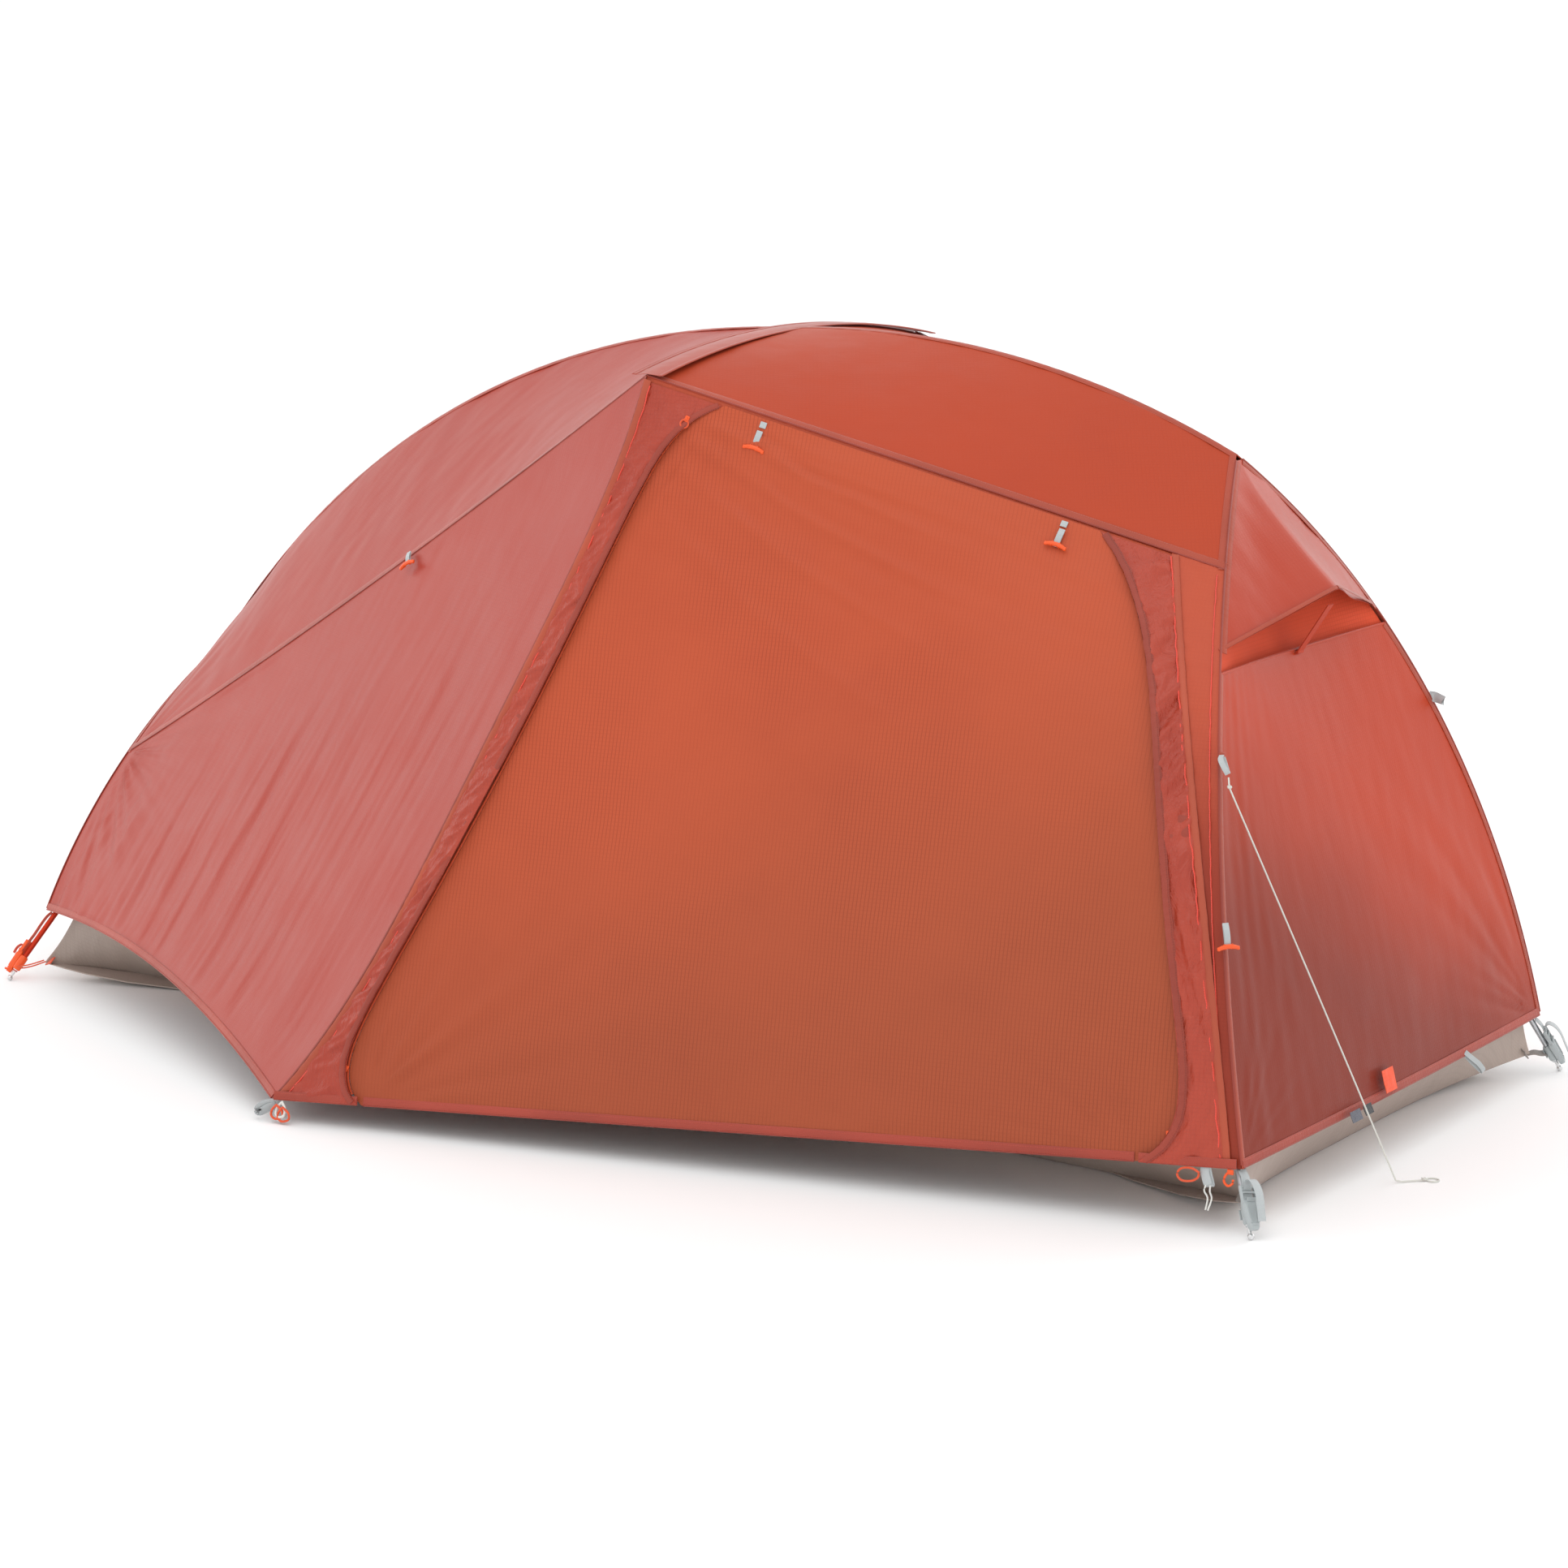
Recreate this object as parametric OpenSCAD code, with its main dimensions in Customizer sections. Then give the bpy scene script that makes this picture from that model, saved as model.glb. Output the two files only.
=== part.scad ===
// One-person ridge-pole tent: a ridge pole with a two-legged hub at each end,
// a short brow pole across the peak, an inner tent with a tub floor, and a fly
// with one side vestibule, a zipped door panel and a vent at the head end.
// Millimetres. Origin: centre of the floor's underside on the ground.
// +X runs towards the head end, -Y towards the door, +Z up.

/* [Footprint] */
// Distance between the pole tips, foot to head
tip_length = 2310; // [2250:5:2360]
// Width across the two head-end pole tips
head_width = 991; // [960:1:1020]
// Width across the two foot-end pole tips
foot_width = 767; // [740:1:790]
// How far the vestibule's stake corner stands out from the centre line
vestibule_out = 770; // [740:5:800]

/* [Heights] */
// Height of the fly over the brow pole at the centre
peak_h = 1092; // [1070:1:1110]
// Height of the fly at the two ends of the brow pole
brow_h = 1054; // [1040:1:1065]
// Height of the fly over the head hub
head_hub_h = 956; // [940:1:970]
// Height of the fly over the foot hub
foot_hub_h = 515; // [500:1:530]
// Height of the fly's hem at the corners
hem_h = 87; // [80:1:95]
// Height of the floor's side walls
tub_h = 100; // [80:5:110]

/* [Poles] */
// Outer diameter of the pole sections
pole_d = 8.7; // [8:0.1:9]
// Wall thickness of the pole sections
pole_wall = 0.9; // [0.6:0.1:1.2]
// Diameter of the elastic cord inside the poles
shock_d = 2.4; // [2:0.1:3]

/* [Fabric] */
// Thickness of the fly panels
fly_t = 2; // [1.5:0.1:2.5]
// Gap left along each seam
seam_gap = 3; // [2:0.5:4]
// Thickness of the inner tent's panels
net_t = 2; // [1.5:0.1:2.5]

/* [Hardware] */
// Width of the webbing at the corners
web_w = 15; // [12:1:18]
// Thickness of the webbing
web_t = 1.2; // [1:0.1:1.5]
// Length of a toggle's bar
toggle_l = 26; // [22:1:30]
// Diameter of the guy line
guy_d = 2.4; // [2:0.1:3]

/* [Hidden] */
e = 0.01;

// ---- key points of the fly's outer surface ----
PK = [104, 0, peak_h];
BN = [104, -366, brow_h];
BF = [104, 366, brow_h];
HH = [851, 0, head_hub_h];
FH = [-1015, 0, foot_hub_h];
RM1 = [-406, 0, peak_h - 104];
RM2 = [470, 0, peak_h - 16];
LM = [1003, -324, 583];
LC = [1129, -head_width / 2 + 19.5, hem_h];
FS = [-1058, -200, 350];
FC = [-1124, -foot_width / 2 + 58, 110];
SK = [-274, -vestibule_out, 30];
MF = [60, 520, 70];
TH = [tip_length / 2, -head_width / 2, 0];
TF = [-tip_length / 2, -foot_width / 2, 0];
function far(p) = [p[0], -p[1], p[2]];
function unit(v) = v / norm(v);
function mixp(a, b, t) = a * (1 - t) + b * t;

// ---- circle through three points: [centre, radius, e1, e2, n, angle] ----
function circ3(A, M, B) = let (a = M - A, b = B - A, x = cross(a, b),
    c = A + ((b * b) * cross(x, a) + (a * a) * cross(b, x)) / (2 * (x * x)),
    e1 = unit(A - c), n = unit(x), e2 = cross(n, e1),
    w = atan2((B - c) * e2, (B - c) * e1))
  [c, norm(A - c), e1, e2, n, w < 0 ? w + 360 : w];
function arcp(k, t) = k[0] + k[1] * (cos(k[5] * t) * k[2] + sin(k[5] * t) * k[3]);
function arct(k, t) = -sin(k[5] * t) * k[2] + cos(k[5] * t) * k[3];
module on_arc(k) multmatrix([[k[2][0], k[3][0], k[4][0], k[0][0]],
  [k[2][1], k[3][1], k[4][1], k[0][1]],
  [k[2][2], k[3][2], k[4][2], k[0][2]], [0, 0, 0, 1]]) children();
// a round tube along the arc from share t0 to t1
module arc_tube(k, ro, ri, t0 = 0, t1 = 1) on_arc(k)
  rotate([0, 0, k[5] * t0]) rotate_extrude(angle = k[5] * (t1 - t0), $fn = 360)
    translate([k[1], 0]) difference() {
      circle(r = ro, $fn = 24);
      if (ri > 0) circle(r = ri, $fn = 24);
    }
// a frame with its z along w, its x along u
module frame3(o, u, w) {
  z = unit(w); x = unit(u - (u * z) * z); y = cross(z, x);
  multmatrix([[x[0], y[0], z[0], o[0]], [x[1], y[1], z[1], o[1]],
    [x[2], y[2], z[2], o[2]], [0, 0, 0, 1]]) children();
}

// ---- curves of the fly ----
KS1 = circ3(FH, RM1, PK);
KS2 = circ3(PK, RM2, HH);
KL = circ3(HH, LM, LC);
KFL = circ3(FH, FS, FC);
KBW = circ3(BN, PK, BF);
// share of the head leg where the eave, the vent hood and the wall below it meet it
tl_eave = 0.204;
tl_hood = 0.33;
tl_wall = 0.36;
// share of the foot leg where the side seam meets it
tf_seam = 0.47;
LT = arcp(KL, tl_eave);

// ---- pole lines: the same arcs, a little more than one radius inside the fly ----
po = pole_d / 2;
pi_ = po - pole_wall;
drop = 11;
drop_leg = 12;
function inset(k, d, o = [0, 0, 0]) = [k[0] + o, k[1] - d, k[2], k[3], k[4], k[5]];
KR1 = inset(KS1, drop);
KR2 = inset(KS2, drop);
KB = circ3([104, -358, brow_h - 26], [104, 0, peak_h - 22.4], [104, 358, brow_h - 26]);
KH = inset(KL, drop_leg, [-8, 0, -2]);
KF = inset(KFL, drop_leg, [11, 0, -2]);
// the last straight length of each leg, from the ground up
TH0 = TH + [0, 0, 5];
TF0 = TF + [0, 0, 5];
HE = arcp(KH, 1);
FE = arcp(KF, 1);
AH = unit(HE - TH0);
AF = unit(FE - TF0);
module both_sides() { children(); mirror([0, 1, 0]) children(); }

// ---- a thin closed shell over a surface S(u, v) ----
// side = 1 when dS/du x dS/dv points out of the tent
module shell(S, nu, nv, side, t, u0 = 0, u1 = 1, v0 = 0, v1 = 1) {
  d = 0.001;
  function M(u, v) = unit(cross(S(u + d, v) - S(u - d, v), S(u, v + d) - S(u, v - d)));
  oa = side > 0 ? 0 : t;
  ob = side > 0 ? -t : 0;
  g = [for (i = [0:nu]) for (j = [0:nv]) let (u = u0 + (u1 - u0) * i / nu, v = v0 + (v1 - v0) * j / nv) [S(u, v), M(u, v)]];
  n = (nu + 1) * (nv + 1);
  pts = concat([for (q = g) q[0] + oa * q[1]], [for (q = g) q[0] + ob * q[1]]);
  function id(i, j) = i * (nv + 1) + j;
  fa = [for (i = [0:nu - 1]) for (j = [0:nv - 1]) each
    [[id(i, j), id(i, j + 1), id(i + 1, j + 1)], [id(i, j), id(i + 1, j + 1), id(i + 1, j)]]];
  fb = [for (f = fa) [n + f[0], n + f[2], n + f[1]]];
  rim = concat([for (i = [0:nu - 1]) [id(i, 0), id(i + 1, 0)]],
    [for (j = [0:nv - 1]) [id(nu, j), id(nu, j + 1)]],
    [for (i = [0:nu - 1]) [id(nu - i, nv), id(nu - i - 1, nv)]],
    [for (j = [0:nv - 1]) [id(0, nv - j), id(0, nv - j - 1)]]);
  fr = [for (r = rim) each [[r[0], r[1], n + r[1]], [r[0], n + r[1], n + r[0]]]];
  polyhedron(points = pts, faces = concat(fa, fb, fr), convexity = 6);
}
function coons(a, b, c, d, u, v) = (1 - v) * a(u) + v * b(u) + (1 - u) * c(v) + u * d(v)
  - ((1 - u) * (1 - v) * a(0) + u * (1 - v) * a(1) + (1 - u) * v * b(0) + u * v * b(1));
function seg(a, b) = function (t) mixp(a, b, t);
// a seam that sags by s in z at its middle
function sag(a, b, s) = function (t) mixp(a, b, t) - [0, 0, 4 * s * t * (1 - t)];
function legn(t) = arcp(KL, t);
function legf(t) = far(arcp(KL, t));
function fln(t) = arcp(KFL, t);
function flf(t) = far(arcp(KFL, t));

// ---- the door side: a ruled surface between the eave and the hem ----
function DS(s, t) = mixp(mixp(BN, LT, s), mixp(SK, LC, s), t)
  + s * (arcp(KL, tl_eave + (1 - tl_eave) * t) - mixp(LT, LC, t));
function dl_edge(t) = 0.074 + 0.012 * sin(180 * t) - 0.03 * t * t + 0.075 * exp(-t / 0.04) + 0.055 * exp(-(1 - t) / 0.045);
function dr_edge(t) = 0.893 + 0.068 * t - 0.105 * exp(-t / 0.1) - 0.06 * exp(-(1 - t) / 0.055);
function fr_edge(t) = 0.916 + 0.15 * t - 0.08 * t * t;
function fl_edge(t) = 0.038 * (1 - pow(2 * t - 1, 4));
function door_n(s, t) = unit(cross(DS(s, t + .01) - DS(s, t - .01), DS(s + .01, t) - DS(s - .01, t)));

// ---- poles ----
module ridge_pole() color([0.78, 0.27, 0.16]) {
  arc_tube(KR1, po, pi_, 0.012, 0.992);
  arc_tube(KR2, po, pi_, 0.012, 0.980);
}
module head_legs() color([0.72, 0.74, 0.75]) both_sides() arc_tube(KH, po, pi_, 0.018, 1);
module foot_legs() color([0.72, 0.22, 0.13]) both_sides() arc_tube(KF, po, pi_, 0.025, 1);
module brow_pole() color([0.72, 0.74, 0.75]) arc_tube(KB, po, pi_, 0.0, 1.0);
module shock_cord() color([0.93, 0.93, 0.9]) {
  arc_tube(KR1, shock_d / 2, 0, 0.012, 0.992);
  arc_tube(KR2, shock_d / 2, 0, 0.012, 0.980);
  arc_tube(KB, shock_d / 2, 0, 0.0, 1.0);
  both_sides() {
    arc_tube(KH, shock_d / 2, 0, 0.018, 1);
    arc_tube(KF, shock_d / 2, 0, 0.025, 1);
  }
}
fer_r = po + 0.75;
module fer(k, t) let (h = 19 / (k[1] * k[5] * PI / 180)) arc_tube(k, fer_r, po + 0.12, t - h, t + h);
module pole_ferrules() color([0.66, 0.68, 0.7]) {
  for (t = [0.30, 0.62]) fer(KR1, t);
  for (t = [0.45]) fer(KR2, t);
  both_sides() { for (t = [0.36, 0.66]) fer(KH, t); fer(KF, 0.55); fer(KB, 0.24); }
}
// a hub: a round body with a short socket for each pole
module socket(k, t0, t1) arc_tube(k, po + 1.8, 0, t0, t1);
module hub_body(p, w) frame3(p - unit(w) * 7, [0, 1, 0], w) difference() {
  cylinder(h = 12, r = 11, center = true, $fn = 48);
  translate([0, 0, -7]) cylinder(h = 6, r = 2, $fn = 24);
}
module head_hub() color([0.25, 0.26, 0.28]) {
  hub_body(arcp(KR2, 1) + [-9, 0, -2], [0.55, 0, 0.835]);
  socket(KR2, 0.955, 0.99);
  both_sides() socket(KH, 0.012, 0.055);
}
module foot_hub() color([0.25, 0.26, 0.28]) {
  hub_body(arcp(KR1, 0) + [11, 0, -3], [-0.75, 0, 0.66]);
  socket(KR1, 0.006, 0.03);
  both_sides() socket(KF, 0.015, 0.075);
}
// the ridge pole's block over the brow pole's block, on one pin
module swivel_hub() color([0.25, 0.26, 0.28]) {
  difference() {
    union() {
      translate([104, 0, peak_h - drop]) rotate([0, 90, 0]) cylinder(h = 46, r = po + 2, center = true, $fn = 40);
      translate([104, 0, peak_h - 22.5]) rotate([90, 0, 0]) cylinder(h = 46, r = po + 1.6, center = true, $fn = 40);
    }
    translate([104, 0, peak_h - 50]) cylinder(h = 60, r = 1.5, $fn = 24);
  }
}
module swivel_pin() color([0.8, 0.8, 0.8]) translate([104, 0, peak_h - 31]) {
  cylinder(h = 27.3, r = 1.5, $fn = 24);
  translate([0, 0, -1.5]) cylinder(h = 1.5, r = 3, $fn = 24);
}
// at each corner a frame with z along the pole and x pointing out of the tent
module at_corner(i) {
  p = [TH0, far(TH0), TF0, far(TF0)][i];
  a = [AH, far(AH), AF, far(AF)][i];
  frame3(p, [p[0], p[1], 0], a) children();
}
module corners() for (i = [0:3]) at_corner(i) { $up = i < 2 ? norm(HE - TH0) : norm(FE - TF0); children(); }
module pole_tips() color([0.9, 0.9, 0.9]) corners() {
  sphere(r = 5, $fn = 32);
  cylinder(h = 14, r = 2.6, $fn = 24);
  translate([0, 0, 14]) cylinder(h = $up - 14, r = po, $fn = 32);
}
module brow_tips() color([0.9, 0.9, 0.9]) both_sides()
  frame3(arcp(KB, 0), [1, 0, 0], -arct(KB, 0)) {
    cylinder(h = 3, r = po, $fn = 24);
    cylinder(h = 5.5, r = 2, $fn = 24);
  }
// canopy clips: split rings on the poles with a tab to the inner tent
module clip(k, t, dirn) frame3(arcp(k, t), dirn, arct(k, t)) {
  difference() {
    cylinder(h = 10, r = po + 2, center = true, $fn = 32);
    cylinder(h = 12, r = po + 0.1, center = true, $fn = 32);
    translate([-14, -3, -6]) cube([12, 6, 12]);
  }
  translate([po + 1.2, -2, -4]) cube([7, 4, 8]);
}
module pole_clips() color([0.16, 0.17, 0.18]) {
  for (t = [0.14, 0.42, 0.5, 0.76]) clip(KR1, t, [0, 0, -1]);
  for (t = [0.22, 0.72]) clip(KR2, t, [0, 0, -1]);
  both_sides() {
    for (t = [0.22, 0.5, 0.78]) clip(KH, t, [-1, 0.6, -0.4]);
    clip(KF, 0.34, [1, 0.6, -0.4]);
    clip(KB, 0.12, [0, 0, -1]);
  }
}

// ---- inner tent ----
fh = 415; ff = 322; fxh = 1088; fxf = 1082;
floor_pts = [[-fxf, -ff], [fxh, -fh], [fxh, fh], [-fxf, ff]];
module tub_floor() color([0.42, 0.39, 0.37]) linear_extrude(height = 2) polygon(floor_pts);
module tub_wall(a, b, o) {
  n = [o[0], o[1], 0] * 14;
  S = function (u, v) mixp(a, b, u) + [0, 0, 2.6 + v * (tub_h - 3)] + n * v;
  children_shell(S);
}
module children_shell(S) shell(S, 2, 2, 1, 1.6);
module tub_walls() color([0.6, 0.55, 0.51]) {
  g = 14;
  tub_wall([-fxf + g, -ff, 0], [fxh - g, -fh, 0], [0, -1]);
  tub_wall([fxh, -fh + g, 0], [fxh, fh - g, 0], [1, 0]);
  tub_wall([fxh - g, fh, 0], [-fxf + g, ff, 0], [0, 1]);
  tub_wall([-fxf, ff - g, 0], [-fxf, -ff + g, 0], [-1, 0]);
}
// inner canopy key points, inside the poles
IPK = [104, 0, peak_h - 62];
IBN = [104, -330, brow_h - 52];
IHH = [818, 0, head_hub_h - 48];
IFH = [-972, 0, foot_hub_h - 44];
ILT = [880, -140, 770];
IFS = [-1010, -176, 316];
IRM1 = [-398, 0, peak_h - 158];
IRM2 = [460, 0, peak_h - 76];
ITB = tub_h + 8;
IC = [1082, -fh + 12, ITB];
ID = [-1072, -ff + 12, ITB];
IM = [60, -fh + 28, ITB];
KI1 = circ3(IFH, IRM1, IPK);
KI2 = circ3(IPK, IRM2, IHH);
KIB = circ3(IBN, IPK, far(IBN));
KIL = circ3(IHH, [968, -296, 560], IC);
KIF = circ3(IFH, IFS, ID);
til = 0.16;
tif = 0.47;
module i_roof_head(far_side) {
  a = function (u) arcp(KI2, u);
  b = function (u) mixp(IBN, arcp(KIL, til), u);
  c = function (v) arcp(KIB, 0.5 - v / 2);
  d = function (v) arcp(KIL, til * v);
  shell(function (u, v) coons(a, b, c, d, u, v), 6, 3, -1, net_t, 0.005, 0.985, 0.008, 0.985);
}
module i_roof_foot() {
  a = function (u) arcp(KI1, 1 - u);
  b = function (u) mixp(IBN, arcp(KIF, tif), u);
  c = function (v) arcp(KIB, 0.5 - v / 2);
  d = function (v) arcp(KIF, tif * v);
  shell(function (u, v) coons(a, b, c, d, u, v), 8, 3, 1, net_t, 0.005, 0.985, 0.01, 0.985);
}
module canopy_roof() color([0.75, 0.72, 0.68]) both_sides() { i_roof_head(); i_roof_foot(); }
module i_side_foot() {
  a = function (u) mixp(IBN, arcp(KIF, tif), u);
  b = function (u) mixp(IM, ID, u);
  c = function (v) mixp(IBN, IM, v);
  d = function (v) arcp(KIF, tif + (1 - tif) * v);
  shell(function (u, v) coons(a, b, c, d, u, v), 4, 4, 1, net_t, 0.004, 0.992, 0.008, 0.995);
}
// the side towards the head: a ruled surface that holds the inner door
function IS(s, t) = mixp(mixp(IBN, arcp(KIL, til), s), mixp(IM, IC, s), t);
module i_side_head(s0, s1, t0, t1) shell(function (s, t) IS(s, t), 3, 3, -1, net_t, s0, s1, t0, t1);
module canopy_near() color([0.75, 0.72, 0.68]) {
  i_side_foot();
  i_side_head(0.006, 0.086, 0.008, 0.995);
  i_side_head(0.094, 0.99, 0.008, 0.14);
  i_side_head(0.80, 0.985, 0.148, 0.995);
}
module inner_door() color([0.8, 0.76, 0.7]) i_side_head(0.095, 0.792, 0.150, 0.99);
module canopy_far() color([0.75, 0.72, 0.68]) mirror([0, 1, 0]) {
  i_side_foot();
  i_side_head(0.006, 0.985, 0.008, 0.995);
}
module canopy_head() color([0.75, 0.72, 0.68])
  shell(function (u, v) mixp(arcp(KIL, 0.06 + 0.935 * v), far(arcp(KIL, 0.06 + 0.935 * v)), u), 2, 8, -1, net_t, 0.012, 0.988);
module canopy_foot() color([0.75, 0.72, 0.68])
  shell(function (u, v) mixp(arcp(KIF, 0.08 + 0.91 * v), far(arcp(KIF, 0.08 + 0.91 * v)), u), 2, 6, 1, net_t, 0.012, 0.988);

// ---- fly ----
fly_red = [0.78, 0.34, 0.24];
fly_pink = [0.77, 0.44, 0.41];
band_a = 20; band_b = 24;
module fly_brow_band() color([0.74, 0.37, 0.30]) {
  S = function (u, v) arcp(KBW, v) + [mixp(-band_a, band_b, u), 0, 0];
  shell(S, 2, 12, 1, fly_t, 0, 1, 0.004, 0.996);
}
module roof_head() {
  a = function (u) arcp(KS2, u);
  b = function (u) mixp(BN, arcp(KL, tl_eave), u);
  c = function (v) arcp(KBW, 0.5 - v / 2);
  d = function (v) arcp(KL, tl_eave * v);
  shell(function (u, v) coons(a, b, c, d, u, v), 8, 4, -1, fly_t, 0.037, 0.994, 0.006, 0.992);
}
module roof_foot() {
  a = function (u) arcp(KS1, 1 - u);
  b = sag(BN, arcp(KFL, tf_seam), 14);
  c = function (v) arcp(KBW, 0.5 - v / 2);
  d = function (v) arcp(KFL, tf_seam * v);
  shell(function (u, v) coons(a, b, c, d, u, v), 12, 4, 1, fly_t, 0.02, 0.994, 0.006, 0.992);
}
module fly_roof_foot_near() color(fly_pink) roof_foot();
module fly_roof_foot_far() color(fly_pink) mirror([0, 1, 0]) roof_foot();
module fly_roof_head_near() color(fly_red) roof_head();
module fly_roof_head_far() color(fly_red) mirror([0, 1, 0]) roof_head();
// hem of the foot side: cut in a hollow curve between its two corners
function hem_foot(u) = mixp(SK, FC, u) + [0, 0.30, 0.62] * 4 * 62 * u * (1 - u);
module side_foot(c, hem) {
  a = sag(BN, arcp(KFL, tf_seam), 14);
  d = function (v) arcp(KFL, tf_seam + (1 - tf_seam) * v);
  shell(function (u, v) coons(a, hem, c, d, u, v), 8, 8, 1, fly_t, 0.003, 0.995, 0.004, 0.997);
}
module fly_side_foot_near() color(fly_pink) side_foot(function (v) DS(fl_edge(v), v), function (u) hem_foot(u));
module fly_side_foot_far() color(fly_pink) mirror([0, 1, 0])
  side_foot(function (v) mixp(BN, far(MF), v), function (u) mixp(far(MF), FC, u) + [0, 0.1, 0.25] * 4 * 60 * u * (1 - u));
module fly_side_head_far() color(fly_red) mirror([0, 1, 0]) {
  a = function (u) mixp(BN, arcp(KL, tl_eave), u);
  b = function (u) mixp(far(MF), LC, u) + [0, 0.1, 0.25] * 4 * 60 * u * (1 - u);
  c = function (v) mixp(BN, far(MF), v);
  d = function (v) arcp(KL, tl_eave + (1 - tl_eave) * v);
  shell(function (u, v) coons(a, b, c, d, u, v), 6, 8, -1, fly_t, 0.003, 0.995, 0.004, 0.997);
}
module fly_head_wall() color([0.72, 0.33, 0.26]) {
  S = function (u, v) let (t = tl_wall + (1 - tl_wall) * v) mixp(legn(t), legf(t), u) - [14, 0, 3] * 4 * u * (1 - u) * (1 - v) + [6, 0, 0] * 4 * u * (1 - u) * v;
  shell(S, 4, 10, -1, fly_t, 0.004, 0.996, 0, 0.998);
}
hood_out = [58, 0, 61];
module fly_vent_hood() color([0.80, 0.42, 0.36]) {
  S = function (u, v) let (t = 0.03 + (tl_hood - 0.03) * v) mixp(legn(t), legf(t), u) + hood_out * (1 - abs(2 * u - 1)) * pow(max(v, 0), 1.6);
  shell(S, 8, 5, -1, fly_t, 0.006, 0.994);
}
module fly_foot_wall() color(fly_pink) {
  S = function (u, v) let (t = 0.05 + 0.945 * v) mixp(fln(t), flf(t), u);
  shell(S, 4, 8, 1, fly_t, 0.006, 0.994);
}
// the narrow panel between the right flap and the head leg follows the leg
module fly_head_strip() color(fly_red) {
  S = function (u, v) DS(mixp(fr_edge(v) + 0.004, 0.995, u), v);
  shell(S, 1, 12, -1, fly_t, 0, 1, 0.006, 0.997);
}
module flap_left() color([0.72, 0.33, 0.27]) {
  S = function (u, v) DS(mixp(fl_edge(v) + 0.004, dl_edge(v) - 0.003, u), v);
  shell(S, 2, 20, -1, fly_t, 0, 1, 0.012, 0.993);
}
module flap_right() color([0.72, 0.33, 0.27]) {
  S = function (u, v) DS(mixp(dr_edge(v) + 0.003, fr_edge(v), u), v);
  shell(S, 2, 20, -1, fly_t, 0, 1, 0.012, 0.993);
}
module door_panel() color([0.79, 0.37, 0.24]) {
  S = function (u, v) DS(mixp(dl_edge(v), dr_edge(v), u), v);
  shell(S, 6, 20, -1, fly_t, 0, 1, 0.012, 0.993);
}
// zip tapes lie just inside the joints between door and flaps
module tape(f, w) {
  S = function (u, v) let (s = f(v) + mixp(-w, w, u)) DS(s, v) - door_n(s, v) * 5;
  shell(S, 1, 20, -1, 1.2, 0, 1, 0.03, 0.97);
}
module zip_left() color([0.85, 0.30, 0.16]) tape(function (t) dl_edge(t) - 0.001, 0.006);
module zip_right() color([0.85, 0.30, 0.16]) tape(function (t) dr_edge(t) + 0.001, 0.006);

// ---- zip sliders on the door's outer face ----
// frame: origin on the door, x across the zip, y along the zip, z outwards
module on_door(s0, t0, s1, t1) {
  p = DS(s0, t0); q = DS(s1, t1); n = door_n(s0, t0);
  frame3(p, cross(q - p, n), n) children();
}
module slider(ring) {
  translate([-4.5, -6, 4]) cube([9, 12, 3.6]);
  translate([-1.6, -4, 7.6]) cube([3.2, 6, 1.6]);
  translate([0, ring, 6.4]) rotate_extrude($fn = 48) translate([7, 0]) circle(r = 1.3, $fn = 16);
  translate([-1.4, min(0, ring + (ring < 0 ? 6 : 0)), 5.6]) cube([2.8, abs(ring) - 6, 1.6]);
}
module zip_slider_top() color([0.95, 0.38, 0.12]) on_door(0.106, 0.037, 0.100, 0.43) slider(-16);
module zip_slider_left() color([0.95, 0.38, 0.12]) on_door(0.075, 0.955, 0.078, 0.6) slider(-18);
// the right zip bends with the head leg, so its slider follows an arc
KZ = circ3(DS(0.924, 0.955), DS(0.905, 0.54), DS(0.852, 0.12));
module zip_slider_right() color([0.95, 0.38, 0.12])
  frame3(arcp(KZ, 0), cross(arct(KZ, 0), door_n(0.924, 0.955)), door_n(0.924, 0.955)) slider(-18);

// ---- vent prop: a stiff strip from the wall's top edge to the hood ----
VP = [956, 0, 688];
module vent_prop() color([0.2, 0.2, 0.22]) translate(VP) rotate([0, -57, 0]) {
  translate([4, -9, -0.8]) cube([80, 18, 1.6]);
  rotate([90, 0, 0]) cylinder(h = 18, r = 2.4, center = true, $fn = 24);
  translate([0, -9, -0.8]) cube([5, 18, 1.6]);
}

// ---- toggles: a webbing tab with a bar across its end ----
module toggle(len = 26) {
  translate([-4.5, -len, 0]) cube([9, len, 1]);
  translate([0, 0, 0.5]) rotate([0, 90, 0]) cylinder(h = 9, r = 1.4, center = true, $fn = 20);
  translate([0, -len - 1.5, 1.8]) rotate([0, 90, 0]) cylinder(h = toggle_l, r = 3, center = true, $fn = 24);
}
// x along the seam, y up the surface, z outwards
module on_face(p, along, n) frame3(p, along, n) children();
TE1 = DS(0.216, 0.022) + door_n(0.216, 0.022) * 3.2;
TE2 = DS(0.733, 0.024) + door_n(0.733, 0.024) * 3.2;
module toggle_eave_left() color([0.95, 0.38, 0.12]) on_face(TE1, DS(0.226, 0.022) - DS(0.206, 0.022), door_n(0.216, 0.03)) toggle(24);
module toggle_eave_right() color([0.95, 0.38, 0.12]) on_face(TE2, DS(0.743, 0.024) - DS(0.723, 0.024), door_n(0.733, 0.03)) toggle(24);
TF1 = [-381, -301, 754];
TFn = [-0.318, -0.81, 0.492];
module toggle_foot() color([0.95, 0.38, 0.12]) on_face(TF1, [0.86, -0.14, 0.5], TFn) toggle(20);
TL1 = [1067, -418, 398];
TLn = [0.78, -0.56, 0.29];
module toggle_leg() color([0.95, 0.38, 0.12]) on_face(TL1, [0.56, 0.78, 0], TLn) toggle(30);

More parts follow.
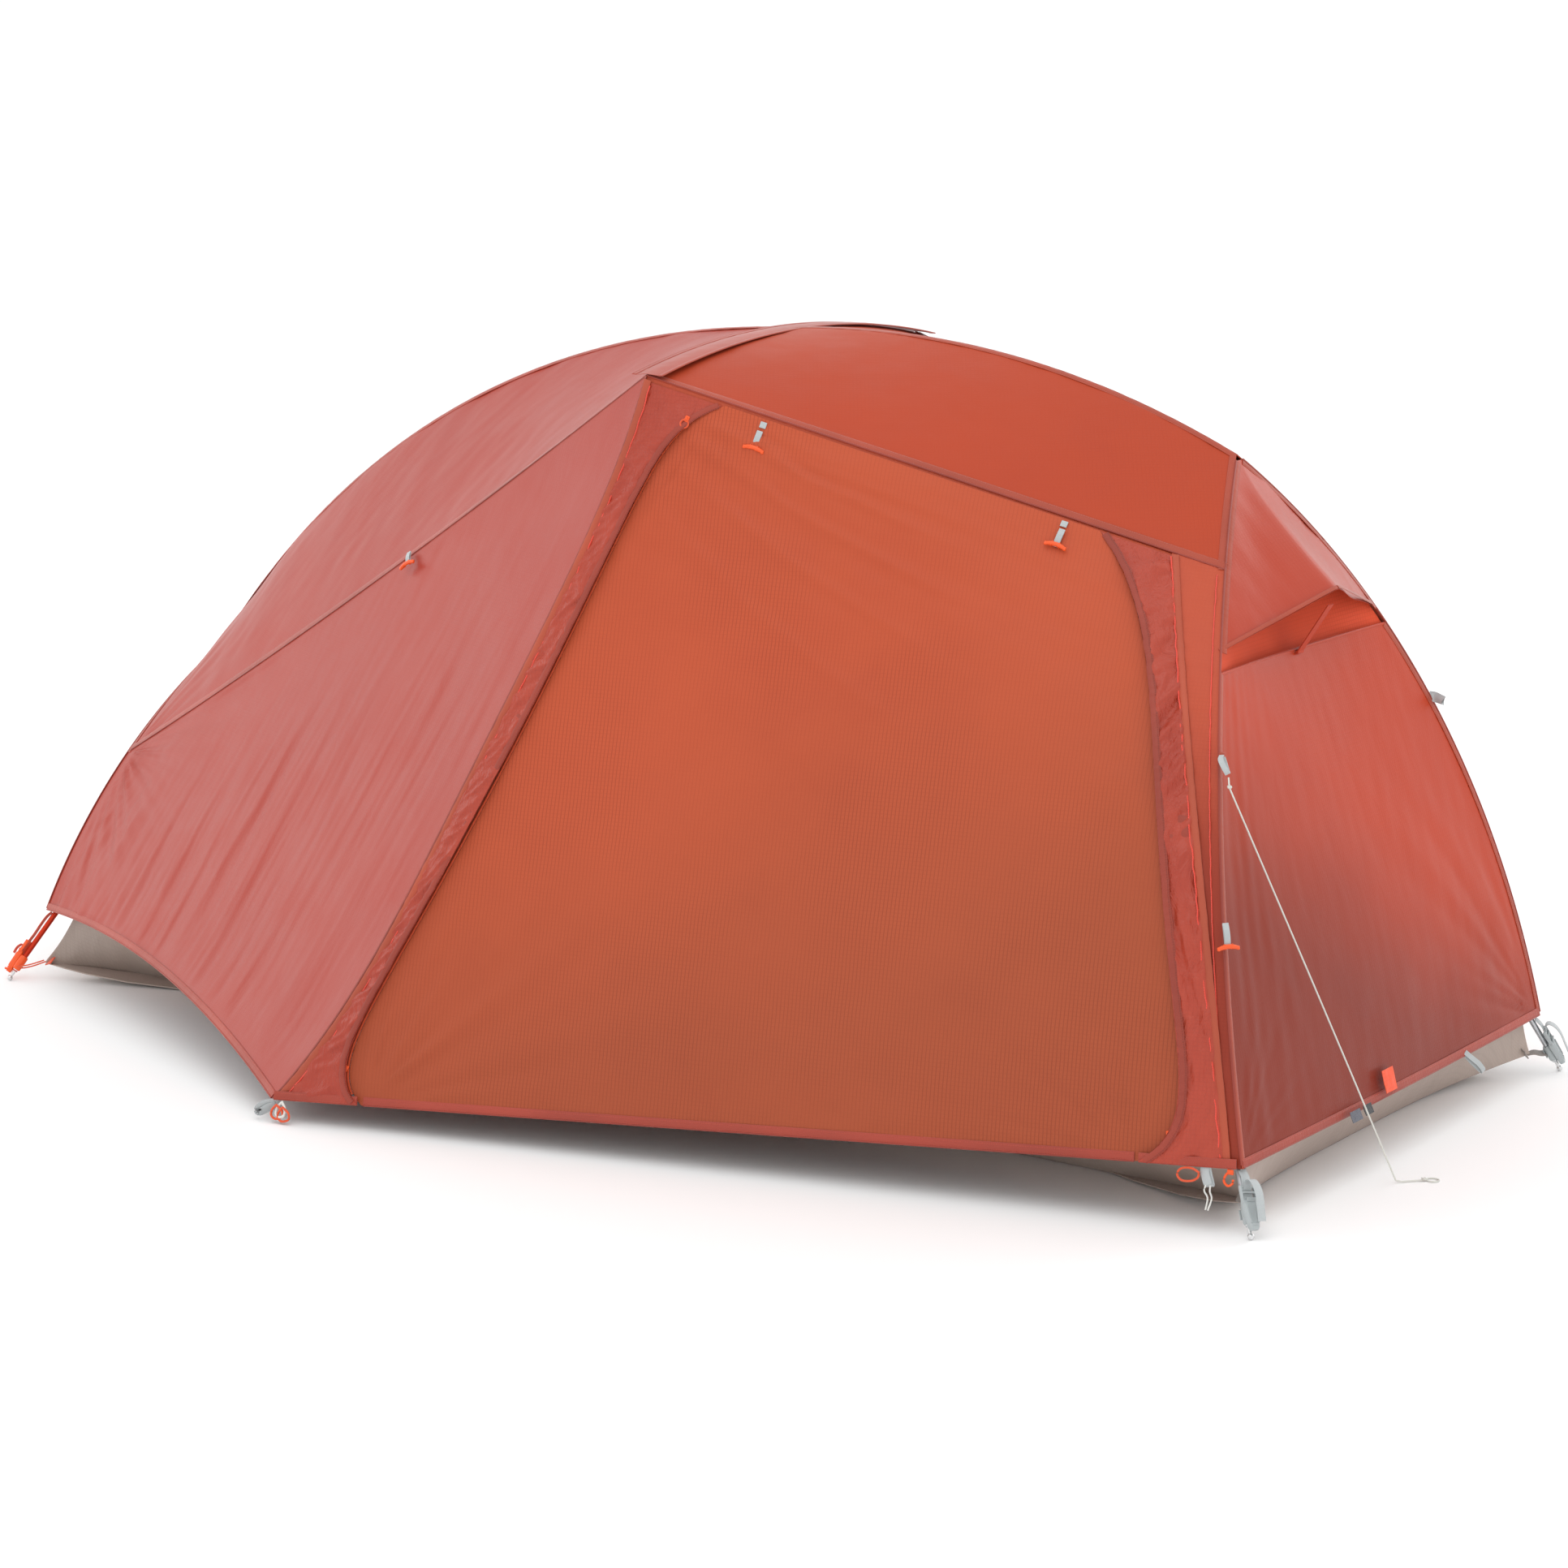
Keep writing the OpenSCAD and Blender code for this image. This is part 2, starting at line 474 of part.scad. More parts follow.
// ---- tie-out loops on the head legs, and the near one's guy line ----
TO = [1016, -330, 588];
module loop_ring(r, w, t) difference() {
  cylinder(h = w, r = r, center = true, $fn = 40);
  cylinder(h = w + 2, r = r - t, center = true, $fn = 40);
}
module tieout_loops() color([0.85, 0.87, 0.87]) both_sides()
  frame3(TO, [0.86, -0.45, 0.1], [0.1, 0.2, 0.97]) loop_ring(9, 7, 1.4);
// guy line: from the near loop straight down to the ground
guy_route = [[1022, -331, 573], [1023, -330, 559], [1068, -287, 420], [1113, -244, 281], [1158, -202, 142], [1202, -161, 4], [1208, -155, 2], [1218, -144, 2], [1230, -132, 2]];
function seg_pts(r, n) = [for (i = [0:len(r) - 2]) for (k = [0:n - 1]) mixp(r[i], r[i + 1], k / n), r[len(r) - 1]];
module sweep(p, rad, ns) {
  m = len(p);
  function tg(i) = unit(p[min(i + 1, m - 1)] - p[max(i - 1, 0)]);
  ref = [0.3, -0.9, 0.3];
  pts = [for (i = [0:m - 1]) let (t = tg(i), x = unit(cross(t, ref)), y = cross(t, x)) for (j = [0:ns - 1]) p[i] + rad * (cos(360 * j / ns) * x + sin(360 * j / ns) * y)];
  fs = [for (i = [0:m - 2]) for (j = [0:ns - 1]) let (k = (j + 1) % ns) each
    [[i * ns + j, (i + 1) * ns + k, i * ns + k], [i * ns + j, (i + 1) * ns + j, (i + 1) * ns + k]]];
  polyhedron(points = pts, faces = concat(fs, [[for (j = [0:ns - 1]) j]], [[for (j = [0:ns - 1]) (m - 1) * ns + ns - 1 - j]]), convexity = 4);
}
module guy_line() color([0.9, 0.9, 0.88]) sweep(seg_pts(guy_route, 4), guy_d / 2, 8);

// ---- corners: tip buckle, webbing and ladder lock ----
bk_w = 26; bk_t = 10;
module tip_buckles() color([0.8, 0.82, 0.83]) corners() difference() {
  union() {
    translate([0, 0, 20]) cylinder(h = 20, r = po + 2.6, $fn = 36);
    translate([po, -bk_w / 2, 22]) cube([bk_t, bk_w, 16]);
  }
  translate([0, 0, 10]) cylinder(h = 40, r = po + 0.05, $fn = 36);
  translate([po + 4, -web_w / 2 - 1, 27]) cube([3, web_w + 2, 20]);
}
strap_x = po + 5;
module fly_straps() color([0.82, 0.84, 0.84]) corners()
  translate([strap_x, -web_w / 2, 27.4]) cube([web_t, web_w, $up - 36]);
module ladder_lock() difference() {
  translate([strap_x - 2.6, -web_w / 2 - 4.5, 46]) cube([6.4, web_w + 9, 17]);
  translate([strap_x - 0.7, -web_w / 2 - 1, 40]) cube([web_t + 1.4, web_w + 2, 30]);
  translate([strap_x + 2, -web_w / 2 - 1, 52]) cube([5, web_w + 2, 4]);
}
module ladder_lock_a() color([0.8, 0.82, 0.83]) at_corner(0) ladder_lock();
module ladder_lock_b() color([0.8, 0.82, 0.83]) at_corner(1) ladder_lock();
module ladder_lock_c() color([0.92, 0.36, 0.14]) at_corner(2) ladder_lock();
module ladder_lock_d() color([0.92, 0.36, 0.14]) at_corner(3) ladder_lock();
// short webbing from the buckle back to the floor's corner
module floor_straps() color([0.62, 0.6, 0.58]) corners()
  translate([-po - 2.8 - 34, -web_w / 2, 24]) cube([34, web_w, web_t]);

// ---- vestibule corner and hem pieces ----
module stake_tab() color([0.7, 0.71, 0.71]) frame3([-296, -vestibule_out - 16, 14], [-0.6, -0.8, 0], [0.1, 0, 1])
  loop_ring(12, 9, 1.6);
module stake_loops() color([0.93, 0.93, 0.9]) {
  frame3([-250, -vestibule_out - 8, 12], [1, 0, 0], [0.3, 1, 0]) loop_ring(11, 3, 2);
  frame3([1102, -500, 66], [1, 0, 0], [0.2, 1, 0]) loop_ring(9, 3, 2);
  frame3([1150, 210, 74], [0, 1, 0], [1, 0.1, 0.2]) loop_ring(9, 3, 2);
}
module hem_patch() color([0.93, 0.36, 0.14]) frame3([1139.5, -60, 112], [0, 1, 0], [0.962, 0, 0.272]) translate([-16, -14, 0]) cube([32, 28, 0.8]);
module hem_labels() color([0.25, 0.25, 0.27]) {
  frame3([1146, -176, 92], [0, 1, 0], [0.962, 0, 0.272]) translate([-16, -7, 0]) cube([30, 14, 0.8]);
  frame3([1146, -140, 92], [0, 1, 0], [0.962, 0, 0.272]) translate([-12, -7, 0]) cube([24, 14, 0.8]);
}

ridge_pole();
head_legs();
foot_legs();
brow_pole();
shock_cord();
pole_ferrules();
head_hub();
foot_hub();
swivel_hub();
swivel_pin();
pole_tips();
brow_tips();
pole_clips();
tub_floor();
tub_walls();
canopy_roof();
canopy_near();
canopy_far();
canopy_head();
canopy_foot();
inner_door();
fly_brow_band();
fly_roof_foot_near();
fly_roof_foot_far();
fly_roof_head_near();
fly_roof_head_far();
fly_side_foot_near();
fly_side_foot_far();
fly_side_head_far();
fly_head_wall();
fly_vent_hood();
fly_foot_wall();
fly_head_strip();
flap_left();
flap_right();
zip_left();
zip_right();
door_panel();
zip_slider_top();
zip_slider_left();
zip_slider_right();
vent_prop();
toggle_eave_left();
toggle_eave_right();
toggle_foot();
toggle_leg();
tieout_loops();
guy_line();
tip_buckles();
fly_straps();
floor_straps();
ladder_lock_a();
ladder_lock_b();
ladder_lock_c();
ladder_lock_d();
stake_tab();
stake_loops();
hem_patch();
hem_labels();
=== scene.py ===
import bpy, math
import numpy as np
from mathutils import Vector, Matrix, Euler


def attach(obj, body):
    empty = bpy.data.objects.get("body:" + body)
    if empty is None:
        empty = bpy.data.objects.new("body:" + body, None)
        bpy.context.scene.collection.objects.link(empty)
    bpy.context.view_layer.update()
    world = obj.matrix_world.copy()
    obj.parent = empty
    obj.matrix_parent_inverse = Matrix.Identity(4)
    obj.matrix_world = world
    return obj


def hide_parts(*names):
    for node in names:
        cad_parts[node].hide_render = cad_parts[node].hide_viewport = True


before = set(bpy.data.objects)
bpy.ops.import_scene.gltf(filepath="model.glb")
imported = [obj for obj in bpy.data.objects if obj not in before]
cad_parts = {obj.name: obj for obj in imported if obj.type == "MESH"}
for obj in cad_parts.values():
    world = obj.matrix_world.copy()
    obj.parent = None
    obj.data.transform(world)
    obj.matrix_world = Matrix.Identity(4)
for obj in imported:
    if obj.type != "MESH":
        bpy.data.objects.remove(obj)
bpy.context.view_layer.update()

# ------------------------------------------------------------------ camera
cam = bpy.data.cameras.new("camera")
cam.lens, cam.sensor_width = 98.31, 36.0
cam_ob = bpy.data.objects.new("camera", cam)
bpy.context.collection.objects.link(cam_ob)
cam_ob.location = (3.6111, -5.2881, 1.7106)
cam_ob.rotation_euler = (math.radians(90 - 11.648), 0, math.radians(33.6271))
bpy.context.scene.camera = cam_ob

# ------------------------------------------------------------------ small maths (millimetres)
def A(*v): return np.array(v, float)
def unit(v):
    v = np.asarray(v, float)
    n = np.linalg.norm(v, axis=-1, keepdims=True)
    return v / np.where(n < 1e-12, 1, n)
def mix(a, b, t):
    t = np.asarray(t, float)[..., None]
    return a * (1 - t) + b * t
def far(p):
    p = np.array(p, float); p[..., 1] *= -1; return p
def circ3(P, M, B):
    a, b = M - P, B - P
    x = np.cross(a, b)
    c = P + ((b @ b) * np.cross(x, a) + (a @ a) * np.cross(b, x)) / (2 * (x @ x))
    e1 = unit(P - c); n = unit(x); e2 = np.cross(n, e1)
    w = math.degrees(math.atan2((B - c) @ e2, (B - c) @ e1)) % 360
    return c, np.linalg.norm(P - c), e1, e2, n, w
def arcp(k, t):
    th = np.radians(k[5] * np.asarray(t, float))[..., None]
    return k[0] + k[1] * (np.cos(th) * k[2] + np.sin(th) * k[3])
def inset(k, d, o=(0, 0, 0)): return (k[0] + A(*o), k[1] - d) + tuple(k[2:])

PK, BN, BF = A(104, 0, 1092), A(104, -366, 1054), A(104, 366, 1054)
HH, FH = A(851, 0, 956), A(-1015, 0, 515)
RM1, RM2 = A(-406, 0, 988), A(470, 0, 1076)
LM, LC = A(1003, -324, 583), A(1129, -476, 87)
FS, FC = A(-1058, -200, 350), A(-1124, -325.5, 110)
SK, MF = A(-274, -770, 30), A(60, 520, 70)
TH, TF = A(1155, -495.5, 0), A(-1155, -383.5, 0)
KS1, KS2 = circ3(FH, RM1, PK), circ3(PK, RM2, HH)
KL, KFL, KBW = circ3(HH, LM, LC), circ3(FH, FS, FC), circ3(BN, PK, BF)
TE, THD, TW, TFS = 0.204, 0.33, 0.36, 0.47
LT = arcp(KL, TE)
KH, KF = inset(KL, 12, (-8, 0, -2)), inset(KFL, 12, (11, 0, -2))
TH0, TF0 = TH + A(0, 0, 5), TF + A(0, 0, 5)
HE, FE = arcp(KH, 1.0), arcp(KF, 1.0)
AH, AF = unit(HE - TH0), unit(FE - TF0)
def DS(s, t):
    s = np.asarray(s, float); t = np.asarray(t, float)
    s, t = np.broadcast_arrays(s, t)
    return mix(mix(BN, LT, s), mix(SK, LC, s), t) + s[..., None] * (arcp(KL, TE + (1 - TE) * t) - mix(LT, LC, t))
def door_n(s, t):
    return unit(np.cross(DS(s, t + .01) - DS(s, t - .01), DS(s + .01, t) - DS(s - .01, t)))
def dl_edge(t): return 0.074 + 0.012 * np.sin(np.pi * t) - 0.03 * t * t + 0.075 * np.exp(-t / 0.04) + 0.055 * np.exp(-(1 - t) / 0.045)
def dr_edge(t): return 0.893 + 0.068 * t - 0.105 * np.exp(-t / 0.1) - 0.06 * np.exp(-(1 - t) / 0.055)
def fr_edge(t): return 0.916 + 0.15 * t - 0.08 * t * t
def fl_edge(t): return 0.038 * (1 - (2 * t - 1) ** 4)
def sag(a, b, s): return lambda t: mix(a, b, t) - np.asarray(4 * s * t * (1 - t))[..., None] * A(0, 0, 1)
def coons(a, b, c, d):
    def S(u, v):
        u = np.asarray(u, float); v = np.asarray(v, float)
        u, v = np.broadcast_arrays(u, v)
        U, V = u[..., None], v[..., None]
        z, o = np.zeros(()), np.ones(())
        return ((1 - V) * a(u) + V * b(u) + (1 - U) * c(v) + U * d(v)
                - ((1 - U) * (1 - V) * a(z) + U * (1 - V) * a(o) + (1 - U) * V * b(z) + U * V * b(o)))
    return S
def mirrored(S): return lambda u, v: far(S(u, v))
def bump(u): return (4 * u * (1 - u))[..., None]
def hem_foot(u): u = np.asarray(u, float); return mix(SK, FC, u) + bump(u) * A(0, .30, .62) * 62
seam_foot = sag(BN, arcp(KFL, TFS), 14)

# ------------------------------------------------------------------ noise
_rng = np.random.RandomState(11)
_perm = _rng.permutation(512)
_perm = np.concatenate([_perm, _perm, _perm])
_grad = unit(_rng.normal(size=(512, 2)))
def pn(x, y, seed=0):
    x = np.asarray(x, float) + seed * 17.31; y = np.asarray(y, float) + seed * 9.7
    xi, yi = np.floor(x).astype(int), np.floor(y).astype(int)
    fx, fy = x - xi, y - yi
    u, v = fx ** 3 * (fx * (fx * 6 - 15) + 10), fy ** 3 * (fy * (fy * 6 - 15) + 10)
    def g(ix, iy, dx, dy):
        h = _perm[(_perm[ix & 511] + iy) & 511]
        gg = _grad[h]
        return gg[..., 0] * dx + gg[..., 1] * dy
    a, b = g(xi, yi, fx, fy), g(xi + 1, yi, fx - 1, fy)
    c, d = g(xi, yi + 1, fx, fy - 1), g(xi + 1, yi + 1, fx - 1, fy - 1)
    return 1.6 * ((a * (1 - u) + b * u) * (1 - v) + (c * (1 - u) + d * u) * v)
def ridged(x, y, seed=0): return 1 - 2 * np.abs(pn(x, y, seed))
def smooth(a, b, x): t = np.clip((np.asarray(x, float) - a) / (b - a), 0, 1); return t * t * (3 - 2 * t)

# ------------------------------------------------------------------ mesh makers
def make_mesh(name, verts, faces, mat, uv=None, sharp=35, smooth_on=True):
    me = bpy.data.meshes.new(name)
    me.from_pydata([tuple(v) for v in np.asarray(verts) * 0.001], [], [tuple(int(i) for i in f) for f in faces])
    if uv is not None:
        lay = me.uv_layers.new(name="UVMap")
        idx = np.zeros(len(me.loops), int); me.loops.foreach_get("vertex_index", idx)
        lay.data.foreach_set("uv", np.asarray(uv, float)[idx].ravel())
    me.validate(); me.update()
    if smooth_on:
        me.polygons.foreach_set("use_smooth", [True] * len(me.polygons))
        me.set_sharp_from_angle(angle=math.radians(sharp))
    ob = bpy.data.objects.new(name, me)
    bpy.context.collection.objects.link(ob)
    if mat is not None: me.materials.append(mat)
    return ob

PANEL_AREA = {}
def panel(name, S, nu, nv, side, mat, u=(0, 1), v=(0, 1), thick=0.7, disp=None, lift=None, body="tent", nodes=(), up=None, declare=True, inner=0.0, uvrot=0):
    U, V = np.meshgrid(np.linspace(u[0], u[1], nu + 1), np.linspace(v[0], v[1], nv + 1), indexing="ij")
    P = S(U, V)
    def normals(P):
        du, dv = np.gradient(P, axis=0), np.gradient(P, axis=1)
        return unit(np.cross(du, dv)) * side
    N = normals(P)
    if inner: P = P - N * inner
    n0 = unit(N.reshape(-1, 3).mean(0))
    upv = A(0, 0, 1) if up is None else A(*up)
    e2 = unit(upv - n0 * (upv @ n0)); e1 = np.cross(e2, n0)
    X, Y = P @ e1, P @ e2
    if disp is not None:
        P = P + N * disp(U, V, X, Y, P)[..., None]
    N2 = normals(P)
    du = np.linalg.norm(np.diff(P, axis=0), axis=2); dv = np.linalg.norm(np.diff(P, axis=1), axis=2)
    wl, ll = du.sum(0).max() / 1000, dv.sum(1).max() / 1000
    cr = np.cross(P[1:, :-1] - P[:-1, :-1], P[:-1, 1:] - P[:-1, :-1]); cr2 = np.cross(P[1:, :-1] - P[1:, 1:], P[:-1, 1:] - P[1:, 1:])
    area = (np.linalg.norm(cr, axis=2).sum() + np.linalg.norm(cr2, axis=2).sum()) / 2e6
    n = (nu + 1) * (nv + 1)
    verts = np.concatenate([P.reshape(-1, 3), (P - N2 * thick).reshape(-1, 3)])
    I = np.arange(n).reshape(nu + 1, nv + 1)
    q = np.stack([I[:-1, :-1], I[1:, :-1], I[1:, 1:], I[:-1, 1:]], -1).reshape(-1, 4)
    if side < 0: q = q[:, ::-1]
    fa = q; fb = (q + n)[:, ::-1]
    ring = np.concatenate([I[:-1, 0], I[-1, :-1], I[:0:-1, -1], I[0, :0:-1]])
    nx = np.roll(ring, -1)
    rim = np.stack([ring, ring + n, nx + n, nx], -1)
    if side < 0: rim = rim[:, ::-1]
    uvc = np.stack([X.ravel(), Y.ravel()], -1) * 0.001
    if uvrot: uvc = uvc[:, ::-1]
    ob = make_mesh(name, verts, np.concatenate([fa, fb, rim]).tolist(), mat, np.concatenate([uvc, uvc]), 60)
    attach(ob, body)
    if nodes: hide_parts(*nodes)
    if declare:
        k = min(1.0, area / (wl * ll)); wd = wl if k >= 0.34 else wl * k / 0.34
        wd, ll = round(wd, 3), round(ll, 3)
        PANEL_AREA[name] = area
    return ob

def frames(pts, ref):
    """tangent, width and height directions along a line; ref gives the height direction"""
    pts = np.asarray(pts, float)
    T = unit(np.gradient(pts, axis=0))
    R = np.broadcast_to(np.asarray(ref, float), pts.shape)
    W = unit(np.cross(R, T)); H = np.cross(T, W)
    return T, W, H

def loft(name, pts, ref, prof, mat, body="tent", nodes=(), closed=False, sharp=35, uvs=True, scale=None):
    """sweeps a closed profile [(w, h)...] in millimetres along pts"""
    pts = np.asarray(pts, float)
    T, W, H = frames(pts, ref)
    if closed:
        T = unit(np.roll(pts, -1, 0) - np.roll(pts, 1, 0)); R = np.broadcast_to(np.asarray(ref, float), pts.shape)
        W = unit(np.cross(R, T)); H = np.cross(T, W)
    prof = np.asarray(prof, float); m = len(prof); k = len(pts)
    sc = np.ones(k) if scale is None else np.asarray(scale)
    V = pts[:, None] + (prof[None, :, 0, None] * W[:, None] + prof[None, :, 1, None] * H[:, None]) * sc[:, None, None]
    L = np.concatenate([[0], np.cumsum(np.linalg.norm(np.diff(pts, axis=0), axis=1))])
    pl = np.concatenate([[0], np.cumsum(np.linalg.norm(np.diff(prof, axis=0), axis=1))])
    uv = np.stack(np.meshgrid(L, prof[:, 0], indexing="ij"), -1).reshape(-1, 2) * 0.001
    faces = []
    for i in range(k if closed else k - 1):
        j = (i + 1) % k
        for a in range(m):
            b = (a + 1) % m
            faces.append((i * m + a, i * m + b, j * m + b, j * m + a))
    if not closed:
        faces.append(tuple(range(m - 1, -1, -1))); faces.append(tuple((k - 1) * m + a for a in range(m)))
    ob = make_mesh(name, V.reshape(-1, 3), faces, mat, uv, sharp)
    if body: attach(ob, body)
    if nodes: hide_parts(*nodes)
    return ob

def tape_prof(w, h, crown=0.0):
    a = w / 2
    return [(-a, 0), (a, 0), (a, h * .6), (a * .8, h), (0, h + crown), (-a * .8, h), (-a, h * .6)]
def rib_prof(w, h):
    a, b = w / 2, h / 2
    return [(-a, -b * .5), (-a * .94, -b), (a * .94, -b), (a, -b * .5), (a, b * .5), (a * .94, b), (-a * .94, b), (-a, b * .5)]
def round_prof(r, n=12, sq=1.0): return [(r * math.cos(2 * math.pi * i / n), sq * r * math.sin(2 * math.pi * i / n)) for i in range(n)]
def spline(ctrl, n):
    """Catmull-Rom through the points, resampled evenly"""
    c = np.asarray(ctrl, float); c = np.vstack([2 * c[0] - c[1], c, 2 * c[-1] - c[-2]])
    out = []
    for i in range(1, len(c) - 2):
        for t in np.linspace(0, 1, 12, endpoint=False):
            a, b, d, e = c[i - 1], c[i], c[i + 1], c[i + 2]
            out.append(.5 * ((2 * b) + (-a + d) * t + (2 * a - 5 * b + 4 * d - e) * t ** 2 + (-a + 3 * b - 3 * d + e) * t ** 3))
    out.append(c[-2]); out = np.array(out)
    L = np.concatenate([[0], np.cumsum(np.linalg.norm(np.diff(out, axis=0), axis=1))])
    q = np.linspace(0, L[-1], n)
    return np.stack([np.interp(q, L, out[:, k]) for k in range(3)], -1)

def rbox(size, r, M=None, seg=3):
    """rounded box: verts and faces in mm, centred, edges rounded by r"""
    import bmesh
    bm = bmesh.new(); bmesh.ops.create_cube(bm, size=1)
    for v in bm.verts: v.co = Vector((v.co.x * size[0], v.co.y * size[1], v.co.z * size[2]))
    bmesh.ops.bevel(bm, geom=bm.edges[:], offset=r, segments=seg, affect="EDGES", profile=.5)
    vs = np.array([v.co[:] for v in bm.verts]); fs = [[v.index for v in f.verts] for f in bm.faces]
    bm.free()
    if M is not None: vs = vs @ np.array(M)[:3, :3].T + np.array(M)[:3, 3]
    return vs, fs
def at(x=0, y=0, z=0, rx=0, ry=0, rz=0):
    return np.array(Matrix.Translation((x, y, z)) @ Euler((math.radians(rx), math.radians(ry), math.radians(rz))).to_matrix().to_4x4())
def join_parts(name, parts, M, mat, body, nodes=(), sharp=35):
    V, F, n = [], [], 0
    for vs, fs in parts:
        V.append(vs); F += [[i + n for i in f] for f in fs]; n += len(vs)
    V = np.concatenate(V)
    uv = np.stack([V[:, 0] + V[:, 2] * .3, V[:, 1] + V[:, 2]], -1) * .001
    if M is not None: V = V @ np.array(M)[:3, :3].T + np.array(M)[:3, 3]
    ob = make_mesh(name, V, F, mat, uv, sharp)
    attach(ob, body)
    if nodes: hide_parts(*nodes)
    return ob
def tube_part(pts, r, n=12, closed=False, ref=(0.13, 0.2, 0.97), sq=1.0):
    pts = np.asarray(pts, float)
    if closed: T = unit(np.roll(pts, -1, 0) - np.roll(pts, 1, 0))
    else: T = unit(np.gradient(pts, axis=0))
    R = np.broadcast_to(A(*ref), pts.shape); W = unit(np.cross(R, T)); H = np.cross(T, W)
    rr = np.broadcast_to(np.asarray(r, float), (len(pts),))
    an = np.arange(n) * 2 * np.pi / n
    V = pts[:, None] + rr[:, None, None] * (np.cos(an)[None, :, None] * W[:, None] + sq * np.sin(an)[None, :, None] * H[:, None])
    k = len(pts); F = []
    for i in range(k if closed else k - 1):
        j = (i + 1) % k
        for a in range(n):
            b = (a + 1) % n; F.append([i * n + a, i * n + b, j * n + b, j * n + a])
    if not closed: F.append(list(range(n - 1, -1, -1))); F.append([(k - 1) * n + a for a in range(n)])
    return V.reshape(-1, 3), F
def frame_mat(o, u, w):
    z = unit(A(*w)); x = unit(A(*u) - z * (A(*u) @ z)); y = np.cross(z, x)
    M = np.eye(4); M[:3, 0], M[:3, 1], M[:3, 2], M[:3, 3] = x, y, z, o
    return M

# ------------------------------------------------------------------ materials
def lin(r, g, b):
    f = lambda c: (c / 255 / 12.92) if c / 255 <= .04045 else ((c / 255 + .055) / 1.055) ** 2.4
    return (f(r), f(g), f(b), 1)
class NT:
    def __init__(self, name):
        self.m = bpy.data.materials.new(name); self.m.use_nodes = True
        self.t = self.m.node_tree; self.t.nodes.clear()
        self.out = self.t.nodes.new("ShaderNodeOutputMaterial"); self.b = self.t.nodes.new("ShaderNodeBsdfPrincipled")
        self.t.links.new(self.b.outputs[0], self.out.inputs[0])
        self.tc = self.t.nodes.new("ShaderNodeTexCoord")
    def link(self, a, b): self.t.links.new(a, b)
    def put(self, sock, v):
        if isinstance(v, bpy.types.NodeSocket): self.link(v, sock)
        else: sock.default_value = v
    def math(self, op, a, b=0.0, clamp=False):
        n = self.t.nodes.new("ShaderNodeMath"); n.operation = op; n.use_clamp = clamp
        self.put(n.inputs[0], a); self.put(n.inputs[1], b); return n.outputs[0]
    def noise(self, vec, scale, detail=3, rough=.5, dist=0.0):
        n = self.t.nodes.new("ShaderNodeTexNoise"); self.put(n.inputs["Vector"], vec)
        n.inputs["Scale"].default_value = scale; n.inputs["Detail"].default_value = detail
        n.inputs["Roughness"].default_value = rough; n.inputs["Distortion"].default_value = dist
        return n.outputs[0]
    def mapping(self, vec, scale=(1, 1, 1), rot=(0, 0, 0)):
        n = self.t.nodes.new("ShaderNodeMapping"); self.put(n.inputs[0], vec)
        n.inputs["Scale"].default_value = scale; n.inputs["Rotation"].default_value = rot; return n.outputs[0]
    def sep(self, vec):
        n = self.t.nodes.new("ShaderNodeSeparateXYZ"); self.put(n.inputs[0], vec); return n.outputs
    def mixc(self, fac, a, b, mode="MIX"):
        n = self.t.nodes.new("ShaderNodeMix"); n.data_type = "RGBA"; n.blend_type = mode
        self.put(n.inputs["Factor"], fac)
        ins = [i for i in n.inputs if i.type == "RGBA"]; self.put(ins[0], a); self.put(ins[1], b)
        return [o for o in n.outputs if o.type == "RGBA"][0]
    def ramp(self, fac, a, b, lo=0.0, hi=1.0):
        n = self.t.nodes.new("ShaderNodeMapRange"); n.clamp = True; n.interpolation_type = "SMOOTHSTEP"
        self.put(n.inputs[0], fac); n.inputs[1].default_value = lo; n.inputs[2].default_value = hi
        n.inputs[3].default_value = a; n.inputs[4].default_value = b; return n.outputs[0]
    def lines(self, x, period, width):
        """1 on thin lines every period, soft edged"""
        f = self.math("FRACT", self.math("DIVIDE", x, period)); d = self.math("ABSOLUTE", self.math("SUBTRACT", f, .5))
        return self.ramp(d, 1, 0, .5 * width, .5 * width + .08)
    def bumps(self, heights):
        prev = None
        for h, strength, dist in heights:
            n = self.t.nodes.new("ShaderNodeBump"); n.inputs["Strength"].default_value = strength; n.inputs["Distance"].default_value = dist
            self.put(n.inputs["Height"], h)
            if prev is not None: self.link(prev, n.inputs["Normal"])
            prev = n.outputs[0]
        self.link(prev, self.b.inputs["Normal"])
    def set(self, **k):
        for a, v in k.items(): self.put(self.b.inputs[a.replace("_", " ")], v)

